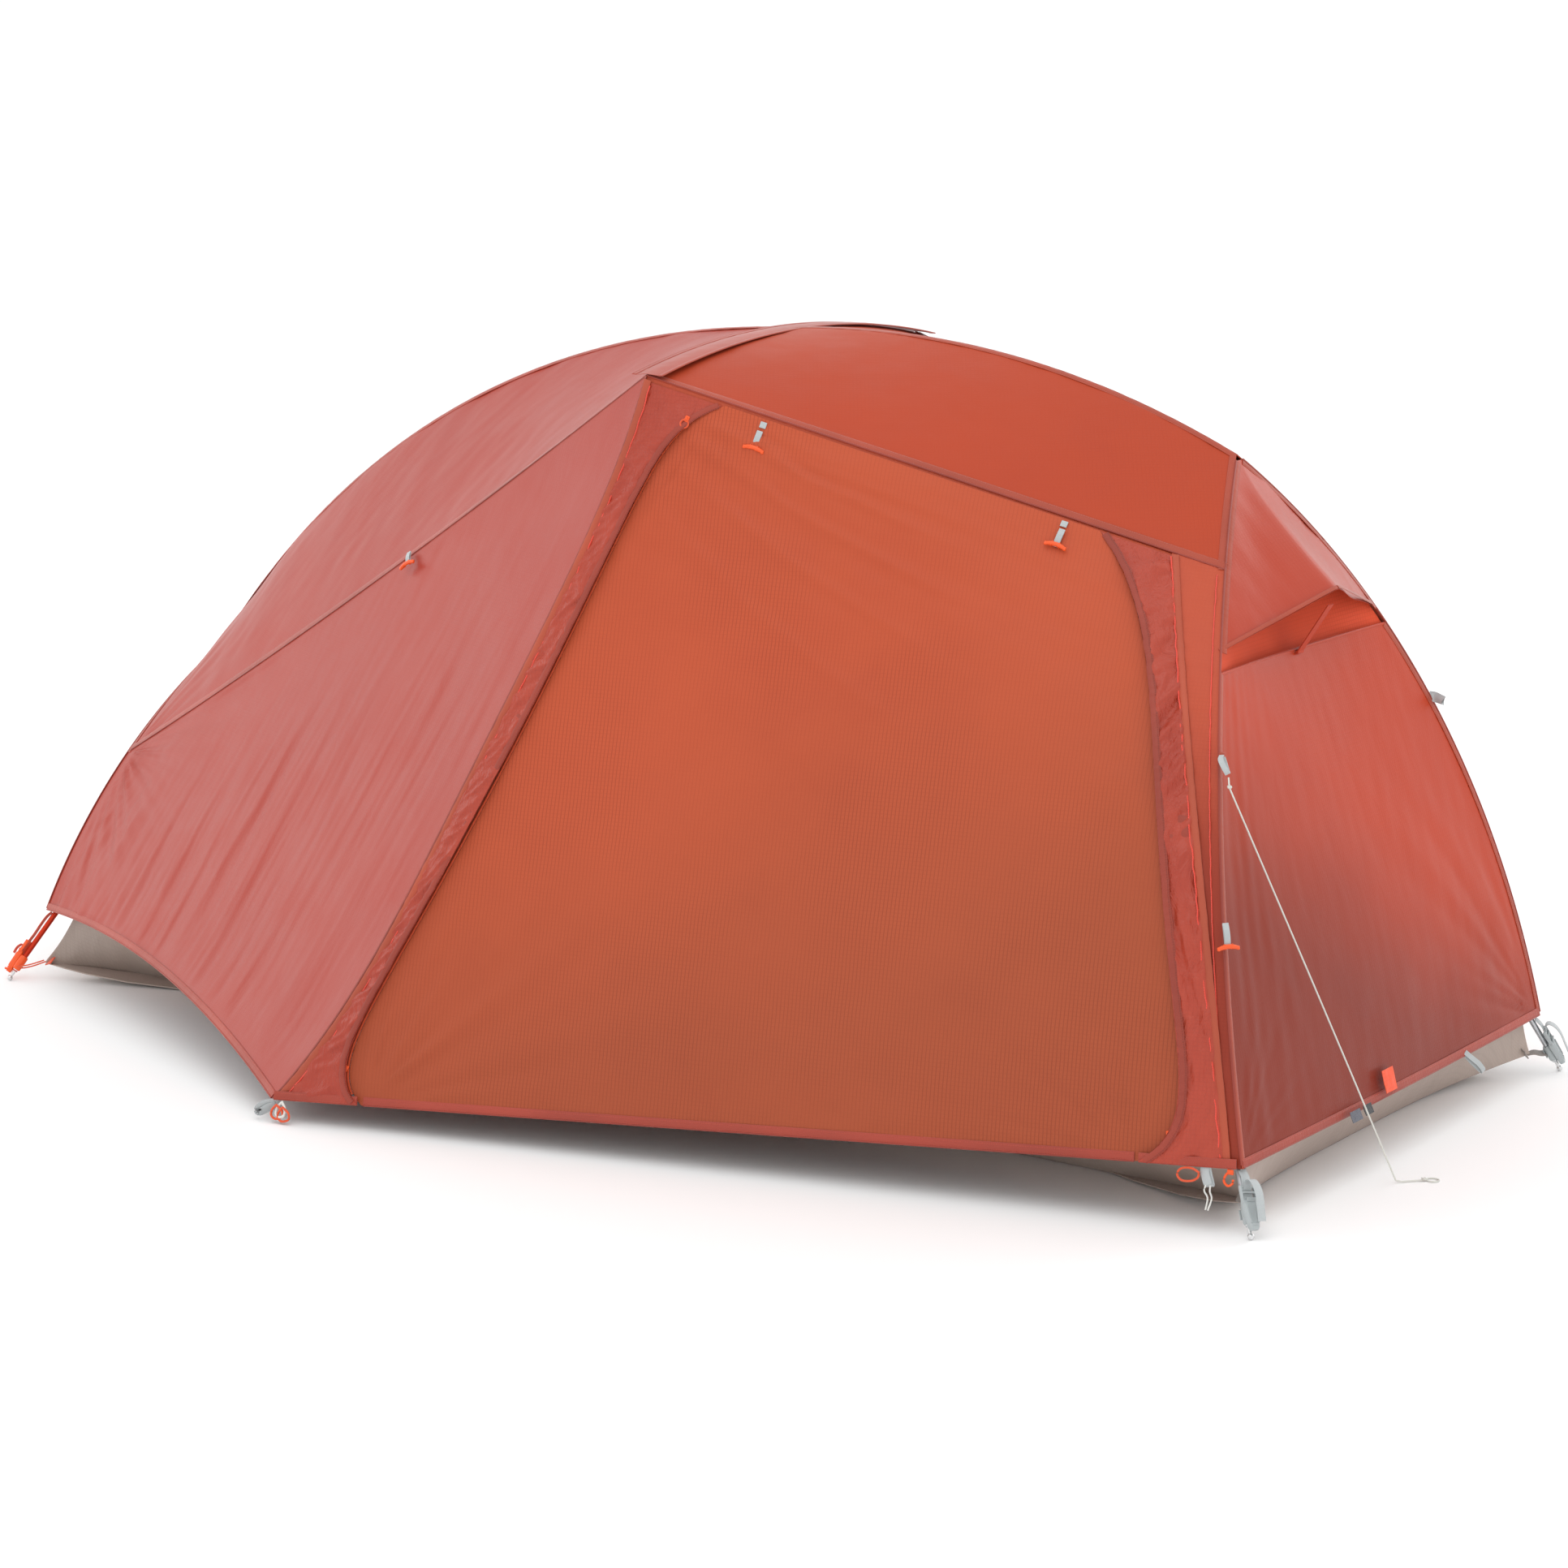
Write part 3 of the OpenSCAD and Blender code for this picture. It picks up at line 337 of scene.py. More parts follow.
def mul(c, k): return tuple(min(1, x * k) for x in c[:3]) + (1,)
def fabric(name, rgb, top=None, zr=(.1, .9), axis=2, rough=.46, sheen=.3, rip=(.055, .02), fold=.35, var=.07, streak=None, trans=0.0, spec=.42, bd=.004):
    """coated ripstop nylon: rib lines, weave, soft mottling, and a second colour that a gradient blends to, which
    paints light and shade across the panel
    """
    n = NT(name); base = lin(*rgb)
    obj, uv = n.tc.outputs["Object"], n.tc.outputs["UV"]
    big = n.noise(obj, 2.3, 3, .55); med = n.noise(obj, 11, 4, .6, .4); fine = n.noise(obj, 120, 3, .6)
    col = base
    # painted light and shade: the colour ramps from the base colour to the top colour along the axis
    if top is not None:
        g = n.sep(obj)[axis] if isinstance(axis, int) else n.math("ADD", n.math("ADD", n.math("MULTIPLY", n.sep(obj)[0], axis[0]), n.math("MULTIPLY", n.sep(obj)[1], axis[1])), n.math("MULTIPLY", n.sep(obj)[2], axis[2])); wob = n.math("MULTIPLY", n.math("SUBTRACT", big, .5), .35 * abs(zr[1] - zr[0]))
        col = n.mixc(n.ramp(n.math("ADD", g, wob), 0, 1, zr[0], zr[1]), base, lin(*top))
    k = n.math("ADD", n.math("MULTIPLY", n.math("SUBTRACT", big, .5), var * 3.2), n.math("MULTIPLY", n.math("SUBTRACT", med, .5), var * 1.6))
    col = n.mixc(n.math("MULTIPLY", n.math("MAXIMUM", k, 0.0), 1.0, True), col, (1, .93, .88, 1), "SOFT_LIGHT")
    col = n.mixc(n.math("MULTIPLY", n.math("MAXIMUM", n.math("MULTIPLY", k, -1.0), 0.0), 1.6, True), col, (.10, .02, .02, 1), "SOFT_LIGHT")
    x, y, _ = n.sep(uv)
    jit = n.math("MULTIPLY", n.math("SUBTRACT", fine, .5), .0004)
    lx = n.lines(n.math("ADD", x, jit), .0056, .16); ly = n.lines(n.math("ADD", y, jit), .0056, .16)
    patch = n.ramp(n.noise(obj, 3.1, 2), .35, 1, .38, .62)
    rm = n.math("MULTIPLY", n.math("MAXIMUM", n.math("MULTIPLY", lx, 1.0), n.math("MULTIPLY", ly, rip[1] / max(rip[0], 1e-6))), patch)
    col = n.mixc(n.math("MULTIPLY", rm, rip[0] * 3), col, mul(base, .35), "MULTIPLY")
    weave = n.math("MULTIPLY", n.lines(x, .0009, .4), n.lines(y, .0009, .4))
    wr = n.noise(n.mapping(obj, (1, 1, .45)), 26, 5, .62, .6)
    hs = [(wr, fold * .5, bd), (rm, .16, .0004), (weave, .10, .0002)]
    if streak: hs.insert(0, (n.noise(n.mapping(obj, *streak), 6, 4, .55, .2), .35, .01))
    n.bumps(hs)
    n.put(n.b.inputs["Base Color"], col)
    n.put(n.b.inputs["Roughness"], n.ramp(med, rough - .05, rough + .07))
    n.set(Specular_IOR_Level=spec, Sheen_Weight=sheen, Sheen_Roughness=.35, Sheen_Tint=lin(255, 232, 228))
    if trans:
        tl = n.t.nodes.new("ShaderNodeBsdfTranslucent"); n.put(tl.inputs["Color"], n.mixc(.5, col, mul(lin(255, 96, 48), 1.0)))
        ms = n.t.nodes.new("ShaderNodeMixShader"); ms.inputs[0].default_value = trans
        n.link(n.b.outputs[0], ms.inputs[1]); n.link(tl.outputs[0], ms.inputs[2]); n.link(ms.outputs[0], n.out.inputs[0])
    return n.m
def stitched(name, rgb, rows=(-.0042, .0042), thread=1.25, rough=.5, sheen=.25, pucker=.5):
    """a folded seam or hem: rows of stitches along U, cross puckers between them"""
    n = NT(name); base = lin(*rgb); uv = n.tc.outputs["UV"]; obj = n.tc.outputs["Object"]
    x, y, _ = n.sep(uv)
    med = n.noise(obj, 30, 4, .6); big = n.noise(obj, 5, 2)
    dash = n.ramp(n.math("ABSOLUTE", n.math("SUBTRACT", n.math("FRACT", n.math("DIVIDE", x, .0034)), .5)), 1, 0, .28, .36)
    mask = 0.0
    for r in rows:
        row = n.ramp(n.math("ABSOLUTE", n.math("SUBTRACT", y, r)), 1, 0, .0004, .0009)
        mask = n.math("MAXIMUM", mask, n.math("MULTIPLY", row, dash))
    col = n.mixc(n.ramp(big, 0, 1, .3, .7), mul(base, .88), mul(base, 1.1))
    col = n.mixc(n.math("MULTIPLY", mask, .75), col, mul(base, thread))
    pk = n.noise(n.mapping(uv, (1, .25, 1)), 210, 3, .6)
    n.bumps([(pk, pucker, .0012), (mask, .6, .0007), (med, .2, .001)])
    n.put(n.b.inputs["Base Color"], col); n.put(n.b.inputs["Roughness"], n.ramp(med, rough - .05, rough + .08))
    n.set(Specular_IOR_Level=.4, Sheen_Weight=sheen, Sheen_Roughness=.35)
    return n.m
def webbing(name, rgb, pitch=.0013, rough=.62):
    n = NT(name); base = lin(*rgb); x, y, _ = n.sep(n.tc.outputs["UV"]); med = n.noise(n.tc.outputs["Object"], 60, 3)
    w = n.lines(n.math("ADD", x, n.math("MULTIPLY", n.math("ABSOLUTE", n.math("SUBTRACT", n.math("FRACT", n.math("DIVIDE", y, .0024)), .5)), .0016)), pitch, .5)
    edge = n.ramp(n.math("ABSOLUTE", y), 0, 1, .0062, .0072)
    col = n.mixc(w, mul(base, .82), mul(base, 1.06)); col = n.mixc(n.math("MULTIPLY", n.ramp(med, 0, 1, .4, .8), .25), col, mul(base, .75))
    col = n.mixc(n.math("MULTIPLY", edge, .35), col, mul(base, .8))
    n.bumps([(w, .5, .0004), (med, .15, .0006)])
    n.put(n.b.inputs["Base Color"], col); n.put(n.b.inputs["Roughness"], n.ramp(med, rough - .06, rough + .1)); n.set(Sheen_Weight=.25)
    return n.m
def plastic(name, rgb, rough=.38, grain=.12):
    n = NT(name); base = lin(*rgb); obj = n.tc.outputs["Object"]
    f = n.noise(obj, 900, 2, .5); g = n.noise(obj, 45, 4, .6)
    col = n.mixc(n.math("MULTIPLY", n.ramp(g, 0, 1, .35, .75), .22), base, mul(base, .72))
    n.bumps([(f, grain, .0003), (g, .08, .0008)])
    n.put(n.b.inputs["Base Color"], col); n.put(n.b.inputs["Roughness"], n.ramp(g, rough - .06, rough + .12)); n.set(Specular_IOR_Level=.5)
    return n.m
def metal(name, rgb, rough=.3, scratch=.12):
    n = NT(name); base = lin(*rgb); obj = n.tc.outputs["Object"]
    g = n.noise(obj, 40, 4, .6); s = n.noise(n.mapping(obj, (1, 1, 30)), 60, 3, .5)
    col = n.mixc(n.math("MULTIPLY", n.ramp(g, 0, 1, .45, .8), .3), base, mul(base, .7))
    n.bumps([(s, scratch, .0003)])
    n.put(n.b.inputs["Base Color"], col); n.put(n.b.inputs["Roughness"], n.ramp(g, rough - .05, rough + .14)); n.set(Metallic=.9)
    return n.m
def braid(name, rgb):
    n = NT(name); base = lin(*rgb); x, y, _ = n.sep(n.tc.outputs["UV"]); obj = n.tc.outputs["Object"]
    a = n.lines(n.math("ADD", x, n.math("MULTIPLY", y, 1.5)), .0016, .45); b = n.lines(n.math("SUBTRACT", x, n.math("MULTIPLY", y, 1.5)), .0016, .45)
    w = n.math("MAXIMUM", a, b); g = n.noise(obj, 50, 3)
    col = n.mixc(w, mul(base, .72), base); n.bumps([(w, .6, .0004), (g, .2, .0006)])
    n.put(n.b.inputs["Base Color"], col); n.put(n.b.inputs["Roughness"], n.ramp(g, .6, .8)); n.set(Sheen_Weight=.3)
    return n.m

M_ROOFH = fabric("roof_orange", (176, 64, 34), rough=.5, sheen=.02, rip=(.012, .012), fold=.22, spec=.24)
M_ROOFF = fabric("roof_pink", (166, 51, 32), rough=.36, sheen=.05, rip=(.01, .01), fold=.25, spec=.34)
M_SIDEF = fabric("side_pink", (165, 50, 31), rough=.36, sheen=.05, rip=(.01, .01), fold=.3, spec=.34)
# painted light and shade: the door is lighter at the top and darker towards the bottom and the head end, for light
# shining through it
M_DOOR = fabric("door_orange", (163, 76, 46), top=(185, 79, 47), zr=(-.02, .6), axis=(-.35, 0, 1), rough=.52, sheen=.03, rip=(.08, .02), fold=.2, spec=.26)
# the flap's strong mottling is partly random tone and partly painted shade and highlight standing in for the shading of
# its crinkles
M_FLAP = fabric("flap_red", (170, 62, 42), rough=.36, sheen=.04, rip=(.02, .02), fold=1.8, var=.22, spec=.4, bd=.011)
# painted shade: the strip is darker towards the bottom and lighter at the top, like the door
M_STRIP = fabric("strip_orange", (142, 48, 28), top=(184, 76, 48), zr=(.42, .66), rough=.48, sheen=.04, rip=(.02, .02), fold=.5, spec=.28)
# painted light and shade: the head wall is darker low down and on the near side, and lighter towards the top and the
# far side
M_WALL = fabric("wall_red", (130, 44, 26), top=(182, 62, 34), zr=(.16, .54), axis=(0, .5, 1), rough=.36, sheen=.0, rip=(.01, .01), fold=.25, spec=.2)
M_HOOD = fabric("hood_red", (175, 60, 36), rough=.33, sheen=.03, rip=(.01, .01), fold=.22, spec=.38)
# painted light: this far panel is lighter than the rest of the fly, for the light that shines through it
M_FARH = fabric("far_orange", (200, 78, 48), rough=.38, sheen=.05, rip=(.01, .01), fold=.25, spec=.34)
# painted light: the vent mesh is lighter than its own colour, to lift the shade under the hood
M_VENT = fabric("vent_mesh_red", (222, 84, 52), rough=.7, sheen=.0, rip=(.05, .05), fold=.15, spec=.2)
# painted light: the prop is lightened so it doesn't read dark in the shade behind the hood
M_PROP = fabric("prop_red", (186, 66, 42), rough=.6, sheen=.0, rip=(.03, .03), fold=.15, spec=.2)
M_SEAM = stitched("seam_brown", (164, 66, 44))
M_SEAMP = stitched("seam_pink", (168, 74, 60))
M_HEM = stitched("hem_dark", (160, 62, 46), rows=(-.004, .0035))
M_MAUVE = stitched("flap_hem_mauve", (150, 58, 42), rows=(.0032,), thread=.7)
M_TUBE = stitched("tunnel_brown", (172, 74, 48), rows=(), pucker=.3)
M_ZIP = stitched("zip_red", (222, 74, 58), rows=(0.0,), thread=1.15, sheen=.2)
M_FLOOR = fabric("floor_taupe", (178, 162, 152), rough=.5, sheen=.2, rip=(.02, .02), fold=.9, var=.09)
M_INNER = fabric("canopy_light", (190, 182, 170), rough=.6, sheen=.2, rip=(.05, .05), fold=.4)
M_WEB = webbing("webbing_grey", (184, 190, 191))
M_WEBD = webbing("webbing_floor", (150, 140, 134))
M_WEBO = webbing("webbing_orange", (226, 84, 40))
M_BUCK = plastic("buckle_grey", (172, 179, 180), .34)
M_ORANGE = plastic("orange_plastic", (240, 88, 28), .36)
M_ORCORD = braid("orange_cord", (232, 84, 34))
M_GUY = braid("guy_white", (226, 226, 218))
M_WCORD = braid("white_cord", (232, 232, 226))
M_ALU = metal("anodised_silver", (196, 199, 202), .32)
M_RED = metal("anodised_red", (196, 56, 34), .28)
M_TIP = metal("tip_metal", (222, 222, 222), .3)
M_HUB = plastic("hub_grey", (62, 64, 68), .45)
M_PIN = metal("pin_steel", (190, 190, 192), .3)
M_LABEL1 = webbing("label_grey", (86, 88, 100), .0009)
M_LABEL2 = webbing("label_black", (34, 34, 38), .0009)
M_PATCH = fabric("patch_orange", (238, 82, 36), rough=.45, sheen=.2, rip=(.02, .02), fold=.2)

for nm, m in {"ridge_pole": M_RED, "foot_legs": M_RED, "head_legs": M_ALU, "brow_pole": M_ALU, "pole_ferrules": M_ALU, "shock_cord": M_WCORD,
              "head_hub": M_HUB, "foot_hub": M_HUB, "swivel_hub": M_HUB, "pole_clips": M_HUB, "vent_prop": M_PROP, "swivel_pin": M_PIN,
              "pole_tips": M_TIP, "brow_tips": M_TIP}.items():
    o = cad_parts[nm]
    for s in o.material_slots: s.material = m

# ------------------------------------------------------------------ guy line (cord)
GUY = [A(*p) for p in [[1022, -331, 573], [1023, -330, 559], [1068, -287, 420], [1113, -244, 281], [1158, -202, 142], [1202, -161, 4], [1208, -155, 2], [1218, -144, 2], [1230, -132, 2]]]
gp = []
for a, b in zip(GUY[:-1], GUY[1:]):
    for k in range(4): gp.append(a + (b - a) * k / 4)
gp.append(GUY[-1]); gp = np.array(gp)
guy = loft("guy_cord", gp, (0.3, -0.9, 0.3), round_prof(1.2, 10), M_GUY, nodes=("guy_line",), sharp=80)
def knot(name, c, r, wire, mat, tilt=(0, 0, 1), body="tent"):
    t = np.linspace(0, 2 * np.pi, 60, endpoint=False)
    k = np.stack([np.sin(t) + 2 * np.sin(2 * t), np.cos(t) - 2 * np.cos(2 * t), -np.sin(3 * t)], -1) * r / 3
    M = frame_mat(c, (1, .2, .1), tilt); k = k @ M[:3, :3].T + M[:3, 3]
    return join_parts(name, [tube_part(k, wire, 10, True)], None, mat, body, sharp=80)
knot_top = knot("guy_knot_top", A(1023, -330, 560), 2.6, 1.15, M_GUY)
knot_end = knot("guy_knot_end", A(1230, -132, 3.6), 3.0, 1.15, M_GUY)
ang = np.linspace(0, 2 * np.pi, 36, endpoint=False)
ringp = np.stack([1239 + 9 * np.cos(ang), -123 + 8 * np.sin(ang), np.full(36, 1.4)], -1)
loop_end = join_parts("guy_end_loop", [tube_part(ringp, 1.15, 10, True)], None, M_GUY, "tent", sharp=80)

# ------------------------------------------------------------------ fly panels
def edge(U, V, w=.06, sides="ulrd"):
    e = np.ones_like(U)
    if "l" in sides: e = e * smooth(0, w, U)
    if "r" in sides: e = e * smooth(0, w, 1 - U)
    if "u" in sides: e = e * smooth(0, w, V)
    if "d" in sides: e = e * smooth(0, w, 1 - V)
    return e
def fan(X, Y, x0, y0, k, amp, reach, a0, a1, seed=0):
    """folds that spread out from one point"""
    dx, dy = X - x0, Y - y0
    r = np.hypot(dx, dy); a = np.arctan2(dy, dx)
    m = smooth(a0 - .2, a0 + .15, a) * smooth(-a1 - .2, -a1 + .15, -a)
    return amp * m * smooth(0, 45, r) * np.exp(-r / reach) * pn(a * k, r / 260, seed)

def roof_foot_S():
    return coons(lambda u: arcp(KS1, 1 - np.asarray(u)), seam_foot, lambda v: arcp(KBW, .5 - np.asarray(v) / 2), lambda v: arcp(KFL, TFS * np.asarray(v)))
def roof_head_S():
    return coons(lambda u: arcp(KS2, u), lambda u: mix(BN, LT, u), lambda v: arcp(KBW, .5 - np.asarray(v) / 2), lambda v: arcp(KL, TE * np.asarray(v)))
def side_foot_S(c, hem):
    return coons(seam_foot, hem, c, lambda v: arcp(KFL, TFS + (1 - TFS) * np.asarray(v)))
def d_roof_foot(seed):
    def f(U, V, X, Y, P):
        d = 2.6 * pn(X / 210, Y / 170, seed) + 1.1 * pn(X / 70 + Y / 90, Y / 240, seed + 1) + .5 * pn(X / 26, Y / 90, seed + 2)
        x0, y0 = X[-1, -1], Y[-1, -1]
        side = np.sign(X.mean() - x0)
        a = np.arctan2(Y - y0, (X - x0) * side); r = np.hypot(X - x0, Y - y0)
        d = d + 5.5 * np.exp(-r / 190) * smooth(10, 60, r) * pn(a * 7, r / 300, seed + 4)
        return d * edge(U, V, .05)
    return f
def d_side_foot(seed):
    def f(U, V, X, Y, P):
        s = X + .16 * Y * np.sign(X[-1, 0] - X[0, 0])
        d = 1.7 * pn(s / 52, Y / 520, seed) + 1.0 * pn(s / 23, Y / 300, seed + 1) + .7 * pn(s / 10, Y / 120, seed + 2)
        d = d * (.35 + .75 * smooth(.12, .5, V)) * (1 - .55 * smooth(.55, 0, U))
        x0, y0 = X[-1, 0], Y[-1, 0]; side = np.sign(X.mean() - x0)
        a = np.arctan2(Y - y0, (X - x0) * side); r = np.hypot(X - x0, Y - y0)
        d = d + 5.0 * np.exp(-r / 240) * smooth(10, 60, r) * pn(a * 8, r / 260, seed + 4)
        d = d + 3.0 * pn(X / 260, Y / 260, seed + 5)
        return d * edge(U, V, .045)
    return f
for sd, mir in (("near", False), ("far", True)):
    g = mirrored if mir else (lambda s: s)
    q = -1 if mir else 1
    panel("fly_roof_foot_%s_sheet" % sd, g(roof_foot_S()), 130, 60, q * 1, M_ROOFF, disp=d_roof_foot(3 if mir else 1), nodes=["fly_roof_foot_" + sd])
    panel("fly_roof_head_%s_sheet" % sd, g(roof_head_S()), 90, 50, q * -1, M_ROOFH, nodes=["fly_roof_head_" + sd],
          disp=lambda U, V, X, Y, P: edge(U, V, .06) * (2.2 * pn(X / 240, Y / 200, 6) + .8 * pn(X / 60, Y / 80, 7) + .35 * pn(X / 20, Y / 30, 8)))
panel("fly_side_foot_near_sheet", side_foot_S(lambda v: DS(fl_edge(v), v), hem_foot), 190, 130, 1, M_SIDEF, disp=d_side_foot(20), nodes=["fly_side_foot_near"])
hem_ff = lambda u: mix(far(MF), FC, np.asarray(u, float)) + bump(np.asarray(u, float)) * A(0, .1, .25) * 60
hem_fh = lambda u: mix(far(MF), LC, np.asarray(u, float)) + bump(np.asarray(u, float)) * A(0, .1, .25) * 60
panel("fly_side_foot_far_sheet", mirrored(side_foot_S(lambda v: mix(BN, far(MF), v), hem_ff)), 150, 100, -1, M_SIDEF, disp=d_side_foot(31), nodes=["fly_side_foot_far"])
far_head = coons(lambda u: mix(BN, LT, u), hem_fh, lambda v: mix(BN, far(MF), v), lambda v: arcp(KL, TE + (1 - TE) * np.asarray(v)))
panel("fly_side_head_far_sheet", mirrored(far_head), 110, 100, 1, M_FARH, nodes=["fly_side_head_far"],
      disp=lambda U, V, X, Y, P: edge(U, V, .05) * (2.6 * pn(X / 230, Y / 260, 41) + 1.2 * pn((X + .3 * Y) / 45, Y / 420, 42) + .4 * pn(X / 18, Y / 70, 43)))
panel("fly_brow_band_sheet", lambda u, v: arcp(KBW, v) + mix(A(-20, 0, 0), A(24, 0, 0), u), 8, 90, 1, M_SEAMP, nodes=["fly_brow_band"], inner=-1.0,
      disp=lambda U, V, X, Y, P: 2.2 * np.sin(np.pi * U) + .5 * pn(U * 3, V * 60, 51))

# the wall at the head end, the hood over its vent, and the mesh behind the vent
def wall_S(u, v):
    t = TW + (1 - TW) * np.asarray(v, float)
    u = np.asarray(u, float)
    return mix(arcp(KL, t), far(arcp(KL, t)), u) - bump(u) * (1 - np.asarray(v, float))[..., None] * A(14, 0, 3) + bump(u) * np.asarray(v, float)[..., None] * A(6, 0, 0)
def d_wall(U, V, X, Y, P):
    y = P[..., 1]; z = P[..., 2]
    d = 3.0 * pn(y / 260, z / 300, 61) + 1.5 * (1 - smooth(.0, .34, U)) * pn(U * 34, z / 500, 62) + .4 * pn(y / 30, z / 90, 63)
    r = np.hypot(y - 476, z - 87); a = np.arctan2(z - 87, 476 - y)
    d = d + 6.0 * np.exp(-r / 230) * smooth(8, 70, r) * pn(a * 8.5, r / 300, 64)
    r = np.hypot(y + 476, z - 87); a = np.arctan2(z - 87, 476 + y)
    d = d + 2.5 * np.exp(-r / 160) * smooth(8, 60, r) * pn(a * 7, r / 300, 65)
    return d * edge(U, V, .05, "lrd") * (1 - .5 * np.exp(-V / .02))
panel("fly_head_wall_sheet", wall_S, 150, 130, -1, M_WALL, disp=d_wall, nodes=["fly_head_wall"])
HO = A(58, 0, 61)
def hood_S(u, v, lo=.012):
    u = np.asarray(u, float); v = np.asarray(v, float)
    t = lo + (THD - lo) * v
    w = (1 - np.sqrt((2 * u - 1) ** 2 + .0012)) / (1 - .035)
    return mix(arcp(KL, t), far(arcp(KL, t)), u) + (np.maximum(w, 0) * np.maximum(v, 0) ** 1.6)[..., None] * HO
panel("fly_vent_hood_sheet", hood_S, 90, 60, -1, M_HOOD, nodes=["fly_vent_hood"],
      disp=lambda U, V, X, Y, P: (smooth(0, .05, U) * smooth(0, .05, 1 - U)) * (1.6 * pn(P[..., 1] / 90, P[..., 2] / 110, 71) + .5 * pn(P[..., 1] / 25, P[..., 2] / 60, 72)
        - 7 * V ** 2 * np.exp(-((np.abs(2 * U - 1) - .45) / .28) ** 2)))
def vent_S(u, v):
    t = .13 + (.40 - .13) * np.asarray(v, float); u = np.asarray(u, float)
    return mix(arcp(KL, t), far(arcp(KL, t)), u) - bump(u) * A(26, 0, 6)
panel("vent_mesh_sheet", vent_S, 40, 24, -1, M_VENT, u=(.01, .99), inner=3, disp=lambda U, V, X, Y, P: edge(U, V, .1) * 2.0 * pn(P[..., 1] / 60, P[..., 2] / 60, 75))
def foot_S(u, v):
    t = .012 + .983 * np.asarray(v, float); return mix(arcp(KFL, t), far(arcp(KFL, t)), u)
panel("fly_foot_wall_sheet", foot_S, 70, 80, 1, M_SIDEF, nodes=["fly_foot_wall"],
      disp=lambda U, V, X, Y, P: edge(U, V, .06, "lrd") * (2.4 * pn(P[..., 1] / 120, P[..., 2] / 200, 81) + 1.0 * pn(P[..., 1] / 28, P[..., 2] / 240, 82)))

# the door, its flaps and the strip by the head leg
def d_door(U, V, X, Y, P):
    d = 4.6 * pn(X / 330, Y / 290, 91) + 1.7 * pn((X * .5 + Y) / 80, X / 520, 92) + 1.3 * pn((X * .8 - Y) / 120, Y / 500, 98)
    d = d + 2.4 * (1 - smooth(.03, .34, V)) * pn((Y + X * .36) / 30, X / 600, 93)
    d = d + .35 * pn(X / 22, Y / 26, 94)
    for c0, c1, am, wd in ((.030, .115, 2.6, .0065), (.052, .20, 2.4, .008), (.085, .30, 2.0, .010), (.030, .055, 1.6, .005), (.14, .42, 1.4, .012)):
        d = d + 1.7 * am * np.exp(-((V - c0 - c1 * U - .004 * pn(U * 6, V * 0, 9)) / wd) ** 2) * smooth(.0, .08, U) * smooth(.75, .3, U)
    x0, y0 = X[0, -1], Y[0, -1]; r = np.hypot(X - x0, Y - y0); a = np.arctan2(Y - y0, X - x0)
    d = d + 7 * np.exp(-r / 300) * smooth(20, 90, r) * pn(a * 7, r / 330, 95)
    x0, y0 = X[-1, -1], Y[-1, -1]; r = np.hypot(X - x0, Y - y0); a = np.arctan2(Y - y0, x0 - X)
    d = d + 4 * np.exp(-r / 180) * smooth(20, 90, r) * pn(a * 8, r / 330, 96)
    x0, y0 = X[0, 0], Y[0, 0]; r = np.hypot(X - x0, Y - y0); a = np.arctan2(y0 - Y, X - x0)
    d = d + 4 * np.exp(-r / 240) * smooth(20, 90, r) * pn(a * 8, r / 400, 97)
    return d * edge(U, V, .035) 
g0 = .0012
panel("door_sheet", lambda u, v: DS(dl_edge(v) + g0 + (dr_edge(v) - dl_edge(v) - 2 * g0) * np.asarray(u), v), 190, 180, -1, M_DOOR, v=(.004, .999), disp=d_door, body="door", nodes=["door_panel"])
def d_flap_l(U, V, X, Y, P):
    L = V * 1170; w = U * 45
    wr = 2.6 * ridged(L / 38 + w / 30, w / 40, 101) * smooth(.0, .25, U) + 1.5 * pn(L / 13 + w / 26, w / 16, 102) * smooth(.05, .3, U)
    wr = wr * smooth(0.02, .24, 1 - U) * smooth(.02, .12, V)
    return .4 + 1.1 * smooth(.012, .04, V) + 7.0 * smooth(.1, .9, U) * smooth(.012, .07, V) + wr * smooth(.012, .04, V) + 4.0 * smooth(.05, .5, U) * smooth(.5, .56, V) * (1 - smooth(.63, .7, V))
panel("flap_left_sheet", lambda u, v: DS(fl_edge(v) + .0004 + (dl_edge(v) - fl_edge(v) - .0004) * np.asarray(u), v), 26, 420, -1, M_FLAP, v=(.006, .998), disp=d_flap_l, nodes=["flap_left"], thick=1.0)
def d_flap_r(U, V, X, Y, P):
    L = V * 900; w = U * 52
    up = 1 - smooth(.42, .6, V)
    wr = up * (4.4 * ridged((L * .8 + w * 1.25) / 40, (w - .5 * L) / 110, 111) + 2.2 * pn((L + w * .8) / 16, w / 30, 112))
    wr = wr + (1 - up) * (3.6 * ridged((w * 1.5 - L * .16) / 28, L / 150, 113) + 1.8 * pn((L * .3 + w) / 11, L / 50, 114))
    wr = wr * smooth(.03, .26, U) * smooth(0, .14, 1 - U) * smooth(0, .02, V)
    return .4 + 1.1 * smooth(.012, .04, V) + 6.5 * (1 - smooth(.1, .9, U)) * smooth(.012, .07, V) + wr * smooth(.012, .04, V)
panel("flap_right_sheet", lambda u, v: DS(dr_edge(v) + (fr_edge(v) + .0015 - dr_edge(v)) * np.asarray(u), v), 30, 420, -1, M_FLAP, v=(.006, .998), disp=d_flap_r, nodes=["flap_right"], thick=1.0)
panel("eave_header", DS, 120, 4, -1, M_STRIP, u=(.001, .999), v=(.0, .018), inner=1.8, declare=False)
